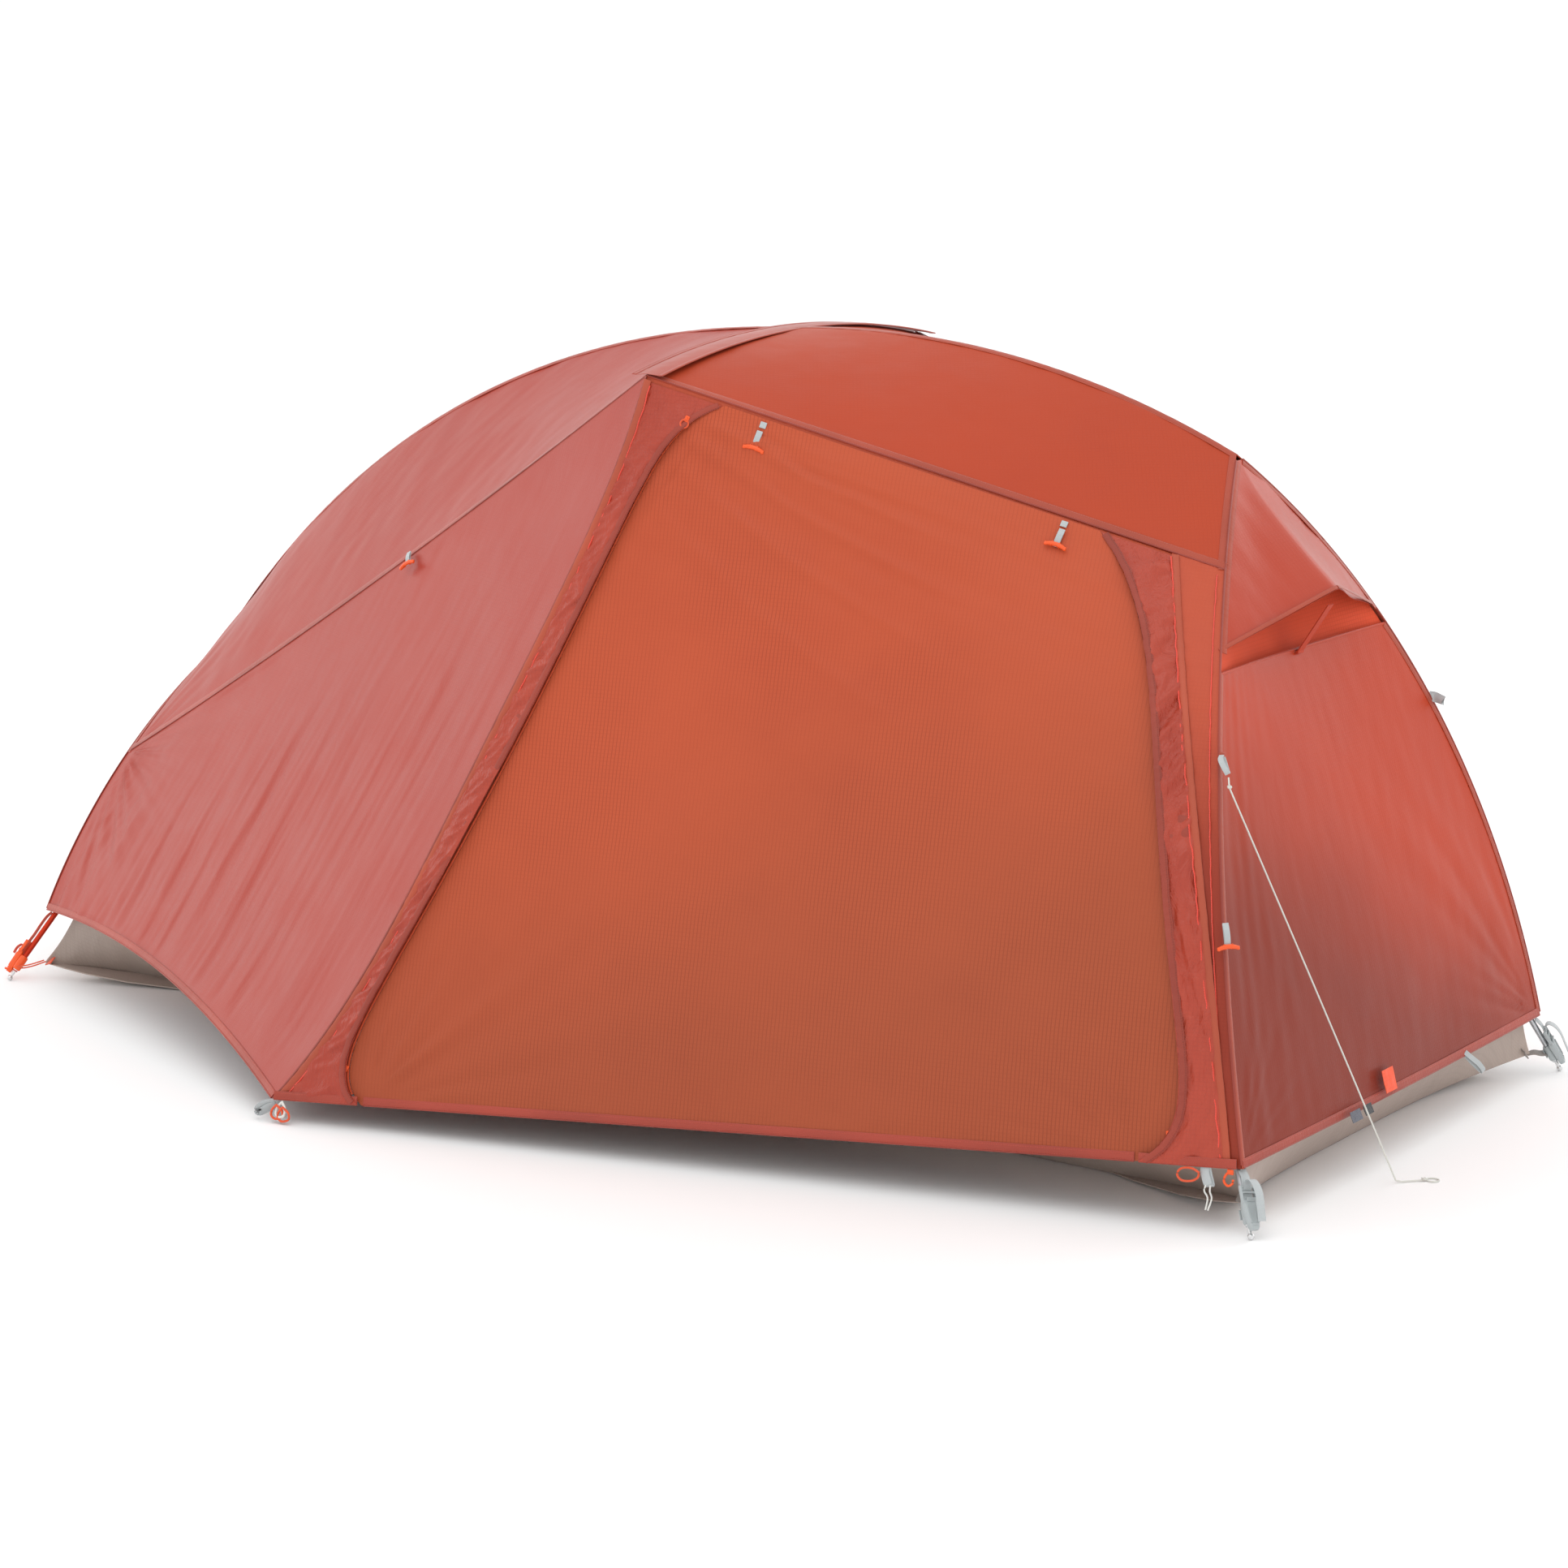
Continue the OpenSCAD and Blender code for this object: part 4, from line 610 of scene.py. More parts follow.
panel("head_strip_sheet", lambda u, v: DS(fr_edge(v) - .004 + (.9995 - fr_edge(v) + .004) * np.asarray(u), v), 16, 260, -1, M_STRIP, nodes=["fly_head_strip"],
      disp=lambda U, V, X, Y, P: edge(U, V, .12, "lr") * (1.2 * pn(V * 60, U * 2, 121) * np.exp(-V / .35) + .8 * pn(V * 16, U * 3, 122)))

# ------------------------------------------------------------------ tub floor: one sheet, floor and walls
def tub():
    NR, NL = A(1128, -446, 34), A(-1105, -352, 30)
    def side_near(x):
        dr, dl = 1128 - x, x + 1105
        y = -(286 + .055 * x) - 98 * np.exp(-dr / 62) - 127 * np.exp(-dl / 70)
        z = 1.2 + 33 * np.exp(-dr / 62) + 29 * np.exp(-dl / 70)
        return np.stack([x, y, z], -1)
    def end(y, x0, x1, yc, zc):
        k = (np.abs(y) / yc) ** 4
        return np.stack([x0 + (x1 - x0) * k, y, 1.2 + (zc - 1.2) * k], -1)
    k = 2
    t = (1 - np.cos(np.linspace(0, np.pi, 90 * k))) / 2
    near = side_near(-1105 + 2233 * t)[:-1]
    right = end(-446 + 892 * (1 - np.cos(np.linspace(0, np.pi, 50 * k))) / 2, 1047, 1128, 446, 34)[:-1]
    farr = far(side_near(-1105 + 2233 * t))[::-1][:-1]
    left = end(352 - 704 * (1 - np.cos(np.linspace(0, np.pi, 44 * k))) / 2, -1030, -1105, 352, 30)[:-1]
    E = np.concatenate([near, right, farr, left])
    def topside(n, a, b, m=None):
        s = (1 - np.cos(np.linspace(0, np.pi, n))) / 2
        if m is None: return (a + (b - a) * s[:, None])[:-1]
        return np.where(s[:, None] < .5, a + (m - a) * (2 * s[:, None]), m + (b - m) * (2 * s[:, None] - 1))[:-1]
    a, b = A(-1074, -310, 106), A(1112, -440, 105)
    T = np.concatenate([topside(90 * k, a, b, A(60, -392, 107)), topside(50 * k, b, far(b)), topside(90 * k, far(b), far(a), A(60, 392, 107)), topside(44 * k, far(a), a)])
    L = np.concatenate([[0], np.cumsum(np.linalg.norm(np.diff(E, axis=0), axis=1))])
    c0 = [0, len(near), len(near) + len(right), len(near) + len(right) + len(farr)]
    per = L[-1] + np.linalg.norm(E[0] - E[-1])
    ctr = A(10, 0, 1.2)
    rows = []
    fl = [.12, .3, .5, .68, .8, .88, .94, .97, 1.0]
    w = list(np.linspace(0, 1, 13 * k))[1:]
    dco = np.min([np.minimum(abs(L - L[i]), per - abs(L - L[i])) for i in c0], axis=0)
    wr = np.zeros(len(E))
    for s, (fq, am) in enumerate([(38, 1.0), (17, .5)]): wr = wr + am * pn(L / fq, np.full(len(L), .37 + s), 131 + s)
    amp = 5.5 * np.exp(-dco / 170) + 1.2
    for r in fl:
        p = ctr + (E - ctr) * r
        flz = p[:, 2] * 0 + 1.2 + (E[:, 2] - 1.2) * max(0, (r - .8) / .2) ** 2
        p[:, 2] = flz + (.5 + .5 * pn(p[:, 0] / 130, p[:, 1] / 130, 133)) * 3 * (1 - max(0, (r - .9) / .1)) * (r < .999)
        rows.append(p)
    out = unit(np.stack([E[:, 0] * 0, E[:, 1], E[:, 2] * 0], -1))
    for q in w:
        s = q
        p = E + (T - E) * s
        p[:, 2] += -9 * np.sin(np.pi * s) * np.exp(-dco / 300) 
        p = p + np.stack([np.zeros(len(E)), np.zeros(len(E)), wr * amp * np.sin(np.pi * min(1, s * .9 + .1)) ** .7], -1)
        rows.append(p)
    G = np.stack(rows); R, M = G.shape[:2]
    du = np.gradient(G, axis=0); dv = (np.roll(G, -1, 1) - np.roll(G, 1, 1))
    N = unit(np.cross(du, dv)); N = np.where((N[..., 2:3] < 0), N, N)
    flip = np.sign(np.mean(N[3, :, 2])); N = N * flip
    G[..., 2] = np.maximum(G[..., 2], 1.2)
    up = G.reshape(-1, 3); dn = (G - N * .9).reshape(-1, 3); dn[:, 2] = np.maximum(dn[:, 2], .1)
    c1, c2 = A(10, 0, 1.6), A(10, 0, .4)
    V = np.concatenate([up, dn, [c1, c2]]); n = R * M; F = []
    for i in range(R - 1):
        for j in range(M):
            q = (i * M + j, (i + 1) * M + j, (i + 1) * M + (j + 1) % M, i * M + (j + 1) % M)
            F.append(q); F.append(tuple(x + n for x in q[::-1]))
    for j in range(M):
        F.append((2 * n, j, (j + 1) % M)); F.append((2 * n + 1, n + (j + 1) % M, n + j))
        a_, b_ = (R - 1) * M + j, (R - 1) * M + (j + 1) % M
        F.append((a_, a_ + n, b_ + n, b_))
    uv = V[:, :2] * .001; uv = uv + np.stack([V[:, 2] * 0, V[:, 2] * .001], -1)
    ob = make_mesh("tub_sheet", V, F, M_FLOOR, uv, 60)
    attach(ob, "tent"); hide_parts("tub_floor", "tub_walls")
    return E, T, L, c0, G
TE_, TT_, TL_, TC_, TG_ = tub()
# bound edge where the walls meet the inner canopy
top_loop = TG_[-1] + A(0, 0, .4)
loft("tub_top_seam", top_loop, (0, 0, 1), tape_prof(9, 1.6), M_HEM, closed=True)

# ------------------------------------------------------------------ inner canopy
IPK, IBN, IHH, IFH = A(104, 0, 1030), A(104, -330, 1002), A(818, 0, 908), A(-972, 0, 471)
ILT, IFS, IRM1, IRM2 = A(880, -140, 770), A(-1010, -176, 316), A(-398, 0, 934), A(460, 0, 1016)
IC, ID_, IM = A(1082, -403, 108), A(-1072, -310, 108), A(60, -387, 108)
KI1, KI2, KIB = circ3(IFH, IRM1, IPK), circ3(IPK, IRM2, IHH), circ3(IBN, IPK, far(IBN))
KIL, KIF = circ3(IHH, A(968, -296, 560), IC), circ3(IFH, IFS, ID_)
def d_in(seed, k=1.0):
    return lambda U, V, X, Y, P: edge(U, V, .07) * k * (3.0 * pn(X / 230, Y / 210, seed) + 1.4 * pn(X / 60 + Y / 160, Y / 300, seed + 1) + .5 * pn(X / 22, Y / 60, seed + 2))
i_rh = coons(lambda u: arcp(KI2, u), lambda u: mix(IBN, arcp(KIL, .16), u), lambda v: arcp(KIB, .5 - np.asarray(v) / 2), lambda v: arcp(KIL, .16 * np.asarray(v)))
i_rf = coons(lambda u: arcp(KI1, 1 - np.asarray(u)), lambda u: mix(IBN, arcp(KIF, .47), u), lambda v: arcp(KIB, .5 - np.asarray(v) / 2), lambda v: arcp(KIF, .47 * np.asarray(v)))
i_sf = coons(lambda u: mix(IBN, arcp(KIF, .47), u), lambda u: mix(IM, ID_, u), lambda v: mix(IBN, IM, v), lambda v: arcp(KIF, .47 + .53 * np.asarray(v)))
def i_sh(s, t): return mix(mix(IBN, arcp(KIL, .16), np.asarray(s)), mix(IM, IC, np.asarray(s)), t)
for sd, g, q in (("near", lambda s: s, 1), ("far", mirrored, -1)):
    panel("inner_roof_head_" + sd, g(i_rh), 40, 24, -q, M_INNER, disp=d_in(141), nodes=["canopy_roof"], thick=.5)
    panel("inner_roof_foot_" + sd, g(i_rf), 50, 24, q, M_INNER, disp=d_in(144), nodes=["canopy_roof"], thick=.5)
    panel("inner_side_foot_" + sd, g(i_sf), 50, 34, q, M_INNER, disp=d_in(147), nodes=["canopy_" + sd], thick=.5)
panel("inner_side_head_far", mirrored(i_sh), 50, 40, 1, M_INNER, disp=d_in(150), nodes=["canopy_far"], thick=.5)
panel("inner_frame_left", i_sh, 10, 60, -1, M_INNER, u=(0, .090), nodes=["canopy_near"], thick=.5)
panel("inner_frame_top", i_sh, 60, 10, -1, M_INNER, u=(.090, 1), v=(0, .144), nodes=["canopy_near"], thick=.5)
panel("inner_frame_right", i_sh, 20, 50, -1, M_INNER, u=(.7965, 1), v=(.144, 1), nodes=["canopy_near"], thick=.5)
panel("inner_end_head", lambda u, v: mix(arcp(KIL, .02 + .98 * np.asarray(v)), far(arcp(KIL, .02 + .98 * np.asarray(v))), u), 40, 50, -1, M_INNER, disp=d_in(153), nodes=["canopy_head"], thick=.5)
panel("inner_end_foot", lambda u, v: mix(arcp(KIF, .02 + .98 * np.asarray(v)), far(arcp(KIF, .02 + .98 * np.asarray(v))), u), 36, 40, 1, M_INNER, disp=d_in(156), nodes=["canopy_foot"], thick=.5)
panel("inner_door_sheet", i_sh, 50, 46, -1, M_INNER, u=(.0945, .7925), v=(.150, .992), disp=d_in(159, .7), body="inner_flap", nodes=["inner_door"], thick=.5)

# slider seats: the same points as the part's frame; the last pair tucks the slider under its flap's edge
ZL, ZLX = (.075, .955, .078, .6), (-13.0, -1.6)
ZR, ZRX = ((.924, .955), (.905, .54), (.852, .12)), (13.0, -1.6)
CORDS = []

#==P5==
# ------------------------------------------------------------------ seams, hems and flap bands
def edge_tape(name, S, side, which, t0, t1, n, off, w, h, mat, body="tent", lift=.15, puck=.22, crown=.3):
    t = np.linspace(t0, t1, n); e = .004
    o = np.zeros_like(t)
    if which[0] == "v": uu, vv = t, o + (0 if which == "v0" else 1); ui, vi = uu, vv + (e if which == "v0" else -e)
    else: uu, vv = o + (0 if which == "u0" else 1), t; ui, vi = uu + (e if which == "u0" else -e), vv
    P = S(uu, vv); D = S(ui, vi) - P
    T = unit(np.gradient(P, axis=0)); D = unit(D - T * (D * T).sum(-1, keepdims=True))
    d = .003
    du = S(np.clip(uu + d, 0, 1), vv) - S(np.clip(uu - d, 0, 1), vv); dv = S(uu, np.clip(vv + d, 0, 1)) - S(uu, np.clip(vv - d, 0, 1))
    N = unit(np.cross(du, dv)) * side
    L = np.concatenate([[0], np.cumsum(np.linalg.norm(np.diff(P, axis=0), axis=1))])
    P = P + D * off + N * (lift + puck * pn(L / 11, L * 0 + .4, len(name)))[:, None]
    return loft(name, P, N, tape_prof(w, h, crown), mat, body=body, sharp=50)
def ds_line(name, sf, lift, t0, t1, n, w, h, mat, body="tent", puck=.25, crown=.3, wob=0.0):
    t = np.linspace(t0, t1, n)
    s = sf(t); P = DS(s, t); N = door_n(s, t)
    L = np.concatenate([[0], np.cumsum(np.linalg.norm(np.diff(P, axis=0), axis=1))])
    W = unit(np.cross(N, unit(np.gradient(P, axis=0))))
    lf = lift(t) if callable(lift) else lift + t * 0
    P = P + N * (lf + puck * pn(L / 9, L * 0 + .4, len(name)))[:, None] + W * (wob * pn(L / 16, L * 0 + .8, len(name) + 3))[:, None]
    return loft(name, P, N, tape_prof(w, h, crown), mat, body=body, sharp=50)

RFS, RHS = roof_foot_S(), roof_head_S()
SFN = side_foot_S(lambda v: DS(fl_edge(v), v), hem_foot)
SFF = side_foot_S(lambda v: mix(BN, far(MF), v), hem_ff)
# painted shadow lines: thin dark strips laid along seam and hem edges, for the shade where panels and hems meet
M_DARK = stitched("seam_shadow", (146, 56, 42), rows=(), pucker=.3)
M_DARKP = stitched("seam_shadow_pink", (152, 74, 64), rows=(), pucker=.3)
# beside the eave and foot seam tapes, seam_eave_line and seam_foot_line are painted shadow lines
for sd, g, q in (("near", lambda s: s, 1), ("far", mirrored, -1)):
    edge_tape("seam_eave_%s" % sd, g(RHS), -q, "v1", .0, 1.0, 150, 6.5, 12, 1.1, M_SEAM)
    edge_tape("seam_eave_line_%s" % sd, g(RHS), -q, "v1", .0, 1.0, 150, 1.0, 2.6, 1.5, M_DARK)
    edge_tape("seam_foot_side_%s" % sd, g(RFS), q, "v1", .0, 1.0, 190, 6.0, 11, 1.1, M_SEAMP)
    edge_tape("seam_foot_line_%s" % sd, g(RFS), q, "v1", .0, 1.0, 190, .9, 2.4, 1.5, M_DARKP)
    edge_tape("seam_leg_roof_%s" % sd, g(RHS), -q, "u1", .0, 1.0, 70, 5, 9, 1.0, M_SEAM)
    edge_tape("seam_leg_foot_%s" % sd, g(RFS), q, "u1", .0, 1.0, 60, 5, 9, 1.0, M_SEAMP)
    edge_tape("seam_ridge_foot_%s" % sd, g(RFS), q, "v0", .0, 1.0, 150, 4.6, 9, 1.0, M_SEAMP)
    edge_tape("seam_ridge_head_%s" % sd, g(RHS), -q, "v0", .0, 1.0, 110, 4.6, 9, 1.0, M_SEAM)
tb = np.linspace(0, 1, 110)
for k, dx, w, m in (("foot", -20, 6, M_SEAMP), ("head", 24, 6, M_SEAMP), ("foot_line", -23.4, 1.8, M_SEAMP), ("head_line", 27.4, 1.8, M_SEAM)):
    P = arcp(KBW, tb); N = unit(P - KBW[0])
    loft("seam_brow_" + k, P + A(dx, 0, 0) + N * .9, N, tape_prof(w, 1.4, .3), m)
for k, uu in (("near", "u0"), ("far", "u1")):
    edge_tape("seam_leg_wall_" + k, wall_S, -1, uu, .0, 1.0, 130, 5.5, 9, 1.1, M_SEAM)
    edge_tape("seam_leg_hood_" + k, hood_S, -1, uu, .0, 1.0, 80, 5.5, 9, 1.1, M_SEAM)
    edge_tape("seam_leg_end_" + k, foot_S, 1, uu, .0, 1.0, 100, 5.5, 9, 1.1, M_SEAMP)
# a painted shadow line along each head leg where its panels meet, and a pinker painted shadow line along each foot leg
for k, g, q in (("near", lambda p: p, 1), ("far", far, -1)):
    t = np.linspace(.012, .995, 200); P = arcp(KL, t); out = unit(P - KL[0]); nd = unit(P * A(1, 1, 0) + A(0, 0, 200))
    loft("seam_leg_line_" + k, g(P + nd * .4), g(nd), tape_prof(3.2, 1.5, .3), M_DARK)
    t = np.linspace(.02, .995, 150); P = arcp(KFL, t); nd = unit(P * A(1, 1, 0) + A(0, 0, 150))
    loft("seam_end_line_" + k, g(P + nd * .4), g(nd), tape_prof(3.0, 1.5, .3), M_DARKP)
edge_tape("hood_edge_near", hood_S, -1, "v1", .0, .497, 60, 3.0, 5.5, 1.1, M_SEAM, crown=.3)
edge_tape("hood_edge_far", hood_S, -1, "v1", .503, 1.0, 60, 3.0, 5.5, 1.1, M_SEAM, crown=.3)
edge_tape("vent_wall_edge", wall_S, -1, "v0", .004, .996, 110, 2.5, 4, .8, M_WALL)
edge_tape("hem_wall", wall_S, -1, "v1", .004, .996, 150, 6, 12, 1.5, M_HEM, crown=.5)
# painted shadow line along the head wall's hem
edge_tape("hem_wall_bind", wall_S, -1, "v1", .004, .996, 150, .8, 2.6, 1.9, M_DARK, crown=.5)
edge_tape("hem_foot_wall", foot_S, 1, "v1", .004, .996, 110, 6, 12, 1.5, M_SEAMP, crown=.5)
edge_tape("hem_side_foot_near", SFN, 1, "v1", .004, .997, 190, 6, 11, 1.4, M_SEAMP, crown=.4)
edge_tape("hem_side_foot_bind", SFN, 1, "v1", .004, .997, 190, .8, 2.4, 1.9, M_HEM, crown=.4)
edge_tape("hem_side_foot_far", mirrored(SFF), -1, "v1", .0, .997, 150, 6, 11, 1.4, M_SEAMP)
edge_tape("hem_side_head_far", mirrored(far_head), 1, "v1", .0, .997, 130, 6, 11, 1.4, M_HEM)
edge_tape("seam_far_middle", mirrored(SFF), -1, "u0", .0, 1.0, 130, 5, 10, 1.1, M_SEAMP)
edge_tape("door_hem", DS, -1, "v1", float(dl_edge(1)) + .003, float(dr_edge(1)) - .003, 230, 6.5, 13, 1.4, M_HEM, body="door", crown=.5)
# painted shadow line along the door's hem
edge_tape("door_hem_bind", DS, -1, "v1", float(dl_edge(1)) + .003, float(dr_edge(1)) - .003, 230, .9, 2.6, 2.0, M_DARK, body="door", crown=.5)
edge_tape("flap_hem_left", DS, -1, "v1", .004, float(dl_edge(1)) - .002, 60, 6.5, 13, 2.4, M_HEM, lift=5.0, puck=1.0)
edge_tape("flap_hem_right", DS, -1, "v1", float(dr_edge(1)) + .002, .996, 60, 6.5, 13, 2.4, M_HEM, lift=4.5, puck=1.2)
# left flap: a painted shadow line at its seam, then the tunnel, bright line, the gathered flap and its folded hem
ds_line("flap_left_seam", lambda t: fl_edge(t) - .0004, .5, .0, .999, 240, 2.8, 1.8, M_DARKP, puck=.4)
ds_line("flap_left_tunnel", lambda t: fl_edge(t) + .0046 + .001 * t, .8, .004, .996, 240, 10.5, 2.0, M_TUBE, crown=.8, wob=.5)
ds_line("flap_left_line", lambda t: fl_edge(t) + .0110 + .001 * t, 2.0, .01, .992, 300, 2.0, 1.2, M_ZIP, puck=.7, wob=1.0)
ds_line("flap_left_hem", lambda t: dl_edge(t) - .0040, lambda t: 1.4 + 8.2 * smooth(.012, .075, t), .007, .996, 300, 8.5, 1.3, M_MAUVE, puck=.9, crown=.6, wob=.5)
# right flap
ds_line("flap_right_hem", lambda t: dr_edge(t) + .0055, lambda t: 1.4 + 8.0 * smooth(.012, .075, t), .007, .996, 300, 10, 1.3, M_MAUVE, puck=1.0, crown=.6, wob=.7)
ds_line("flap_right_line", lambda t: fr_edge(t) - .0050, 2.8, .01, .992, 300, 2.2, 1.3, M_ZIP, puck=1.0, wob=1.3)
ds_line("flap_right_tunnel", lambda t: fr_edge(t) + .0010, 1.3, .004, .996, 240, 10.5, 1.8, M_TUBE, crown=.8, wob=.4)
ds_line("strip_line", lambda t: .9885 + t * 0, .4, .015, .992, 240, 1.8, 1.0, M_ZIP, puck=.5, wob=.6)
ds_line("strip_pole_line", lambda t: .968 + .010 * t, .3, .62, .985, 160, 2.0, .8, M_ORCORD, puck=.2)
# reinforcing patches part way down both flaps
def ds_patch(name, s0, s1, t0, t1, lift, mat, n=12):
    S = lambda u, v: DS(s0(v) + (s1(v) - s0(v)) * u, v)
    return panel(name, S, n, n, -1, mat, v=(t0, t1), thick=.6, inner=-lift, nodes=(), declare=False, disp=lambda U, V, X, Y, P: 2.2 * pn(U * 2.2, V * 60, 7) + 6.2 * smooth(0, 1, U if lift < 3 else 1 - U))
ds_patch("flap_patch_left", lambda t: fl_edge(t) + .012, lambda t: dl_edge(t) - .008, .455, .492, 2.4, M_MAUVE)
ds_patch("flap_patch_right", lambda t: dr_edge(t) + .008, lambda t: fr_edge(t) - .007, .452, .492, 3.1, M_MAUVE)
# zip tapes and teeth just under the flaps, on the flap side; the door carries its own half
for k, f, sg in (("left", dl_edge, -1), ("right", dr_edge, 1)):
    tp = ds_line("zip_tape_" + k, lambda t: f(t) + sg * .0062, -4.2, .02, .985, 200, 13, 1.2, M_TUBE, puck=.1)
    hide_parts("zip_" + k)
    ds_line("zip_coil_" + k, lambda t: f(t) + sg * .0012, -2.6, .02, .985, 260, 3.2, 2.2, M_ORCORD, puck=.1)
    ds_line("door_zip_tape_" + k, lambda t: f(t) - sg * .0045, -3.2, .02, .985, 200, 8, 1.2, M_TUBE, body="door", puck=.1)

# ------------------------------------------------------------------ toggles
def toggle(name, node, body, o, along, nrm, ln, curl=2.0):
    M = frame_mat(o, along, nrm)
    n = 22; t = np.linspace(0, 1, n)
    y = -ln * t; z = .6 + curl * np.sin(np.pi * t) * .6
    pts = np.stack([0 * t, y, z], -1)
    # webbing folded over the bar: front and back run
    loop = np.concatenate([pts, [[0, -ln - 3.0, 2.6], [0, -ln - 3.9, 1.4], [0, -ln - 3.0, .1], [0, -ln + 1, -.4], [0, -ln * .5, .1], [0, -1, -.2]]])
    loop = spline(loop, 44)
    T = unit(np.gradient(loop, axis=0)); N = np.cross(A(1, 0, 0), T)
    pr = np.asarray(rib_prof(8.6, .95)); V = loop[:, None] + pr[None, :, 0, None] * A(1, 0, 0) + pr[None, :, 1, None] * N[:, None]
    F = [[i * 8 + a, i * 8 + (a + 1) % 8, (i + 1) * 8 + (a + 1) % 8, (i + 1) * 8 + a] for i in range(len(loop) - 1) for a in range(8)]
    F += [list(range(7, -1, -1)), [(len(loop) - 1) * 8 + a for a in range(8)]]
    web = join_parts(name + "_tab", [(V.reshape(-1, 3), F)], M, M_WEB, body)
    x = np.linspace(-14.5, 14.5, 30); k = x / 14.5
    bar = np.stack([x, -ln - 1.2 + 2.6 * k * k * -1, 1.6 + 1.0 * (1 - k * k)], -1)
    r = 2.3 + .9 * (1 - np.abs(k) ** 3); r[0] = r[-1] = 1.2
    b = tube_part(bar, r, 16, ref=(0, .1, 1))
    ends = [rbox((4.2, 5.4, 4.4), 1.5, at(sx * 14, -ln - 3.7, 1.8)) for sx in (-1, 1)]
    lips = [rbox((1.4, 7.4, 5.4), .6, at(sx * 5.4, -ln - 1.4, 2.3)) for sx in (-1, 1)]
    bo = join_parts(name + "_bar", [b] + ends + lips, M, M_ORANGE, body)
    st = [rbox((7.6, 1.0, .5), .2, at(0, -3 - 2.4 * i, 1.25)) for i in range(2)]
    so = join_parts(name + "_stitch", st, M, M_WEBD, body)
    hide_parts(node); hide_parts(node)
    return web
e1 = DS(.226, .022) - DS(.206, .022); e2_ = DS(.743, .024) - DS(.723, .024)
toggle("toggle_eave_left", "toggle_eave_left", "toggle_el", DS(.216, .022) + door_n(.216, .022) * 3.2, e1, door_n(.216, .03), 24)
toggle("toggle_eave_right", "toggle_eave_right", "toggle_er", DS(.733, .024) + door_n(.733, .024) * 3.2, e2_, door_n(.733, .03), 24)
toggle("toggle_side", "toggle_foot", "toggle_side", A(-381, -301, 754), (.86, -.14, .5), (-.318, -.81, .492), 20, 3)
toggle("toggle_head", "toggle_leg", "toggle_head", A(1067, -418, 398), (.56, .78, 0), (.78, -.56, .29), 30, 3)
# the fixed end of each toggle's tab, sewn into its seam
for nm, o, al, nr in (("toggle_el_seam", DS(.216, .014) + door_n(.216, .014) * 2.2, e1, door_n(.216, .03)), ("toggle_er_seam", DS(.733, .015) + door_n(.733, .015) * 2.2, e2_, door_n(.733, .03))):
    join_parts(nm, [rbox((9.6, 9, 1.6), .5, at(0, 1, 0))], frame_mat(o, al, nr), M_WEB, "door")

# ------------------------------------------------------------------ zip sliders
def slider(name, node, body, M, ring, small=1.0, cord=True):
    k = small
    parts = [rbox((8.4 * k, 11.5 * k, 3.4), 1.4, at(0, 0, 5.2)), rbox((3.0 * k, 6.5 * k, 1.8), .7, at(0, -.5, 7.4))]
    bo = join_parts(name + "_body", parts, M, M_ORANGE, body)
    a = np.linspace(0, 2 * np.pi, 40, endpoint=False)
    rr = 7.2 * k
    rg = np.stack([rr * np.cos(a) * .92, ring * k + rr * np.sin(a), 6.2 + 1.4 * np.cos(a)], -1)
    st = rbox((2.6, abs(ring) * k - 4, 1.5), .5, at(0, math.copysign((abs(ring) * k - 5) / 2, ring), 7.0))
    pu = join_parts(name + "_pull", [tube_part(rg, 1.35, 12, True), st], M, M_ORCORD, body)
    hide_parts(node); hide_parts(node)
def on_door(s0, t0, s1, t1, dx=0.0, dz=0.0):
    p, q, n = DS(s0, t0), DS(s1, t1), door_n(s0, t0)
    M = frame_mat(p, np.cross(q - p, n), n)
    M[:3, 3] += M[:3, 0] * dx + M[:3, 2] * dz
    return M
slider("slider_top", "zip_slider_top", "slider_top", on_door(.106, .037, .100, .43, dx=8.0), 9.5, .8)
slider("slider_left", "zip_slider_left", "slider_left", on_door(*ZL, dx=ZLX[0], dz=ZLX[1]), -15, .8)
KZ = circ3(DS(*ZR[0]), DS(*ZR[1]), DS(*ZR[2]))
nz = door_n(*ZR[0])
th = -np.sin(0) * KZ[2] + np.cos(0) * KZ[3]
MZ = frame_mat(arcp(KZ, 0), np.cross(th, nz), nz); MZ[:3, 3] += MZ[:3, 0] * ZRX[0] + MZ[:3, 2] * ZRX[1]
slider("slider_right", "zip_slider_right", "slider_right", MZ, -15, .8)

# ------------------------------------------------------------------ tie-out loops
def strip_loop(name, ctrl, wdir, w, th_, mat, body="tent", n=48, twist=None):
    """a webbing loop: the strip follows ctrl, its width along wdir"""
    p = spline(ctrl, n); T = unit(np.gradient(p, axis=0)); Wd = unit(A(*wdir) - T * (T @ A(*wdir))[:, None]); N = np.cross(T, Wd)
    pr = np.asarray(rib_prof(w, th_)); V = p[:, None] + pr[None, :, 0, None] * Wd[:, None] + pr[None, :, 1, None] * N[:, None]
    L = np.concatenate([[0], np.cumsum(np.linalg.norm(np.diff(p, axis=0), axis=1))])
    uv = np.stack([np.repeat(L, 8), np.tile(pr[:, 0], n)], -1) * .001
    F = [[i * 8 + a, i * 8 + (a + 1) % 8, (i + 1) * 8 + (a + 1) % 8, (i + 1) * 8 + a] for i in range(n - 1) for a in range(8)]
    F += [list(range(7, -1, -1)), [(n - 1) * 8 + a for a in range(8)]]
    ob = make_mesh(name, V.reshape(-1, 3), F, mat, uv, 40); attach(ob, body)
    return ob
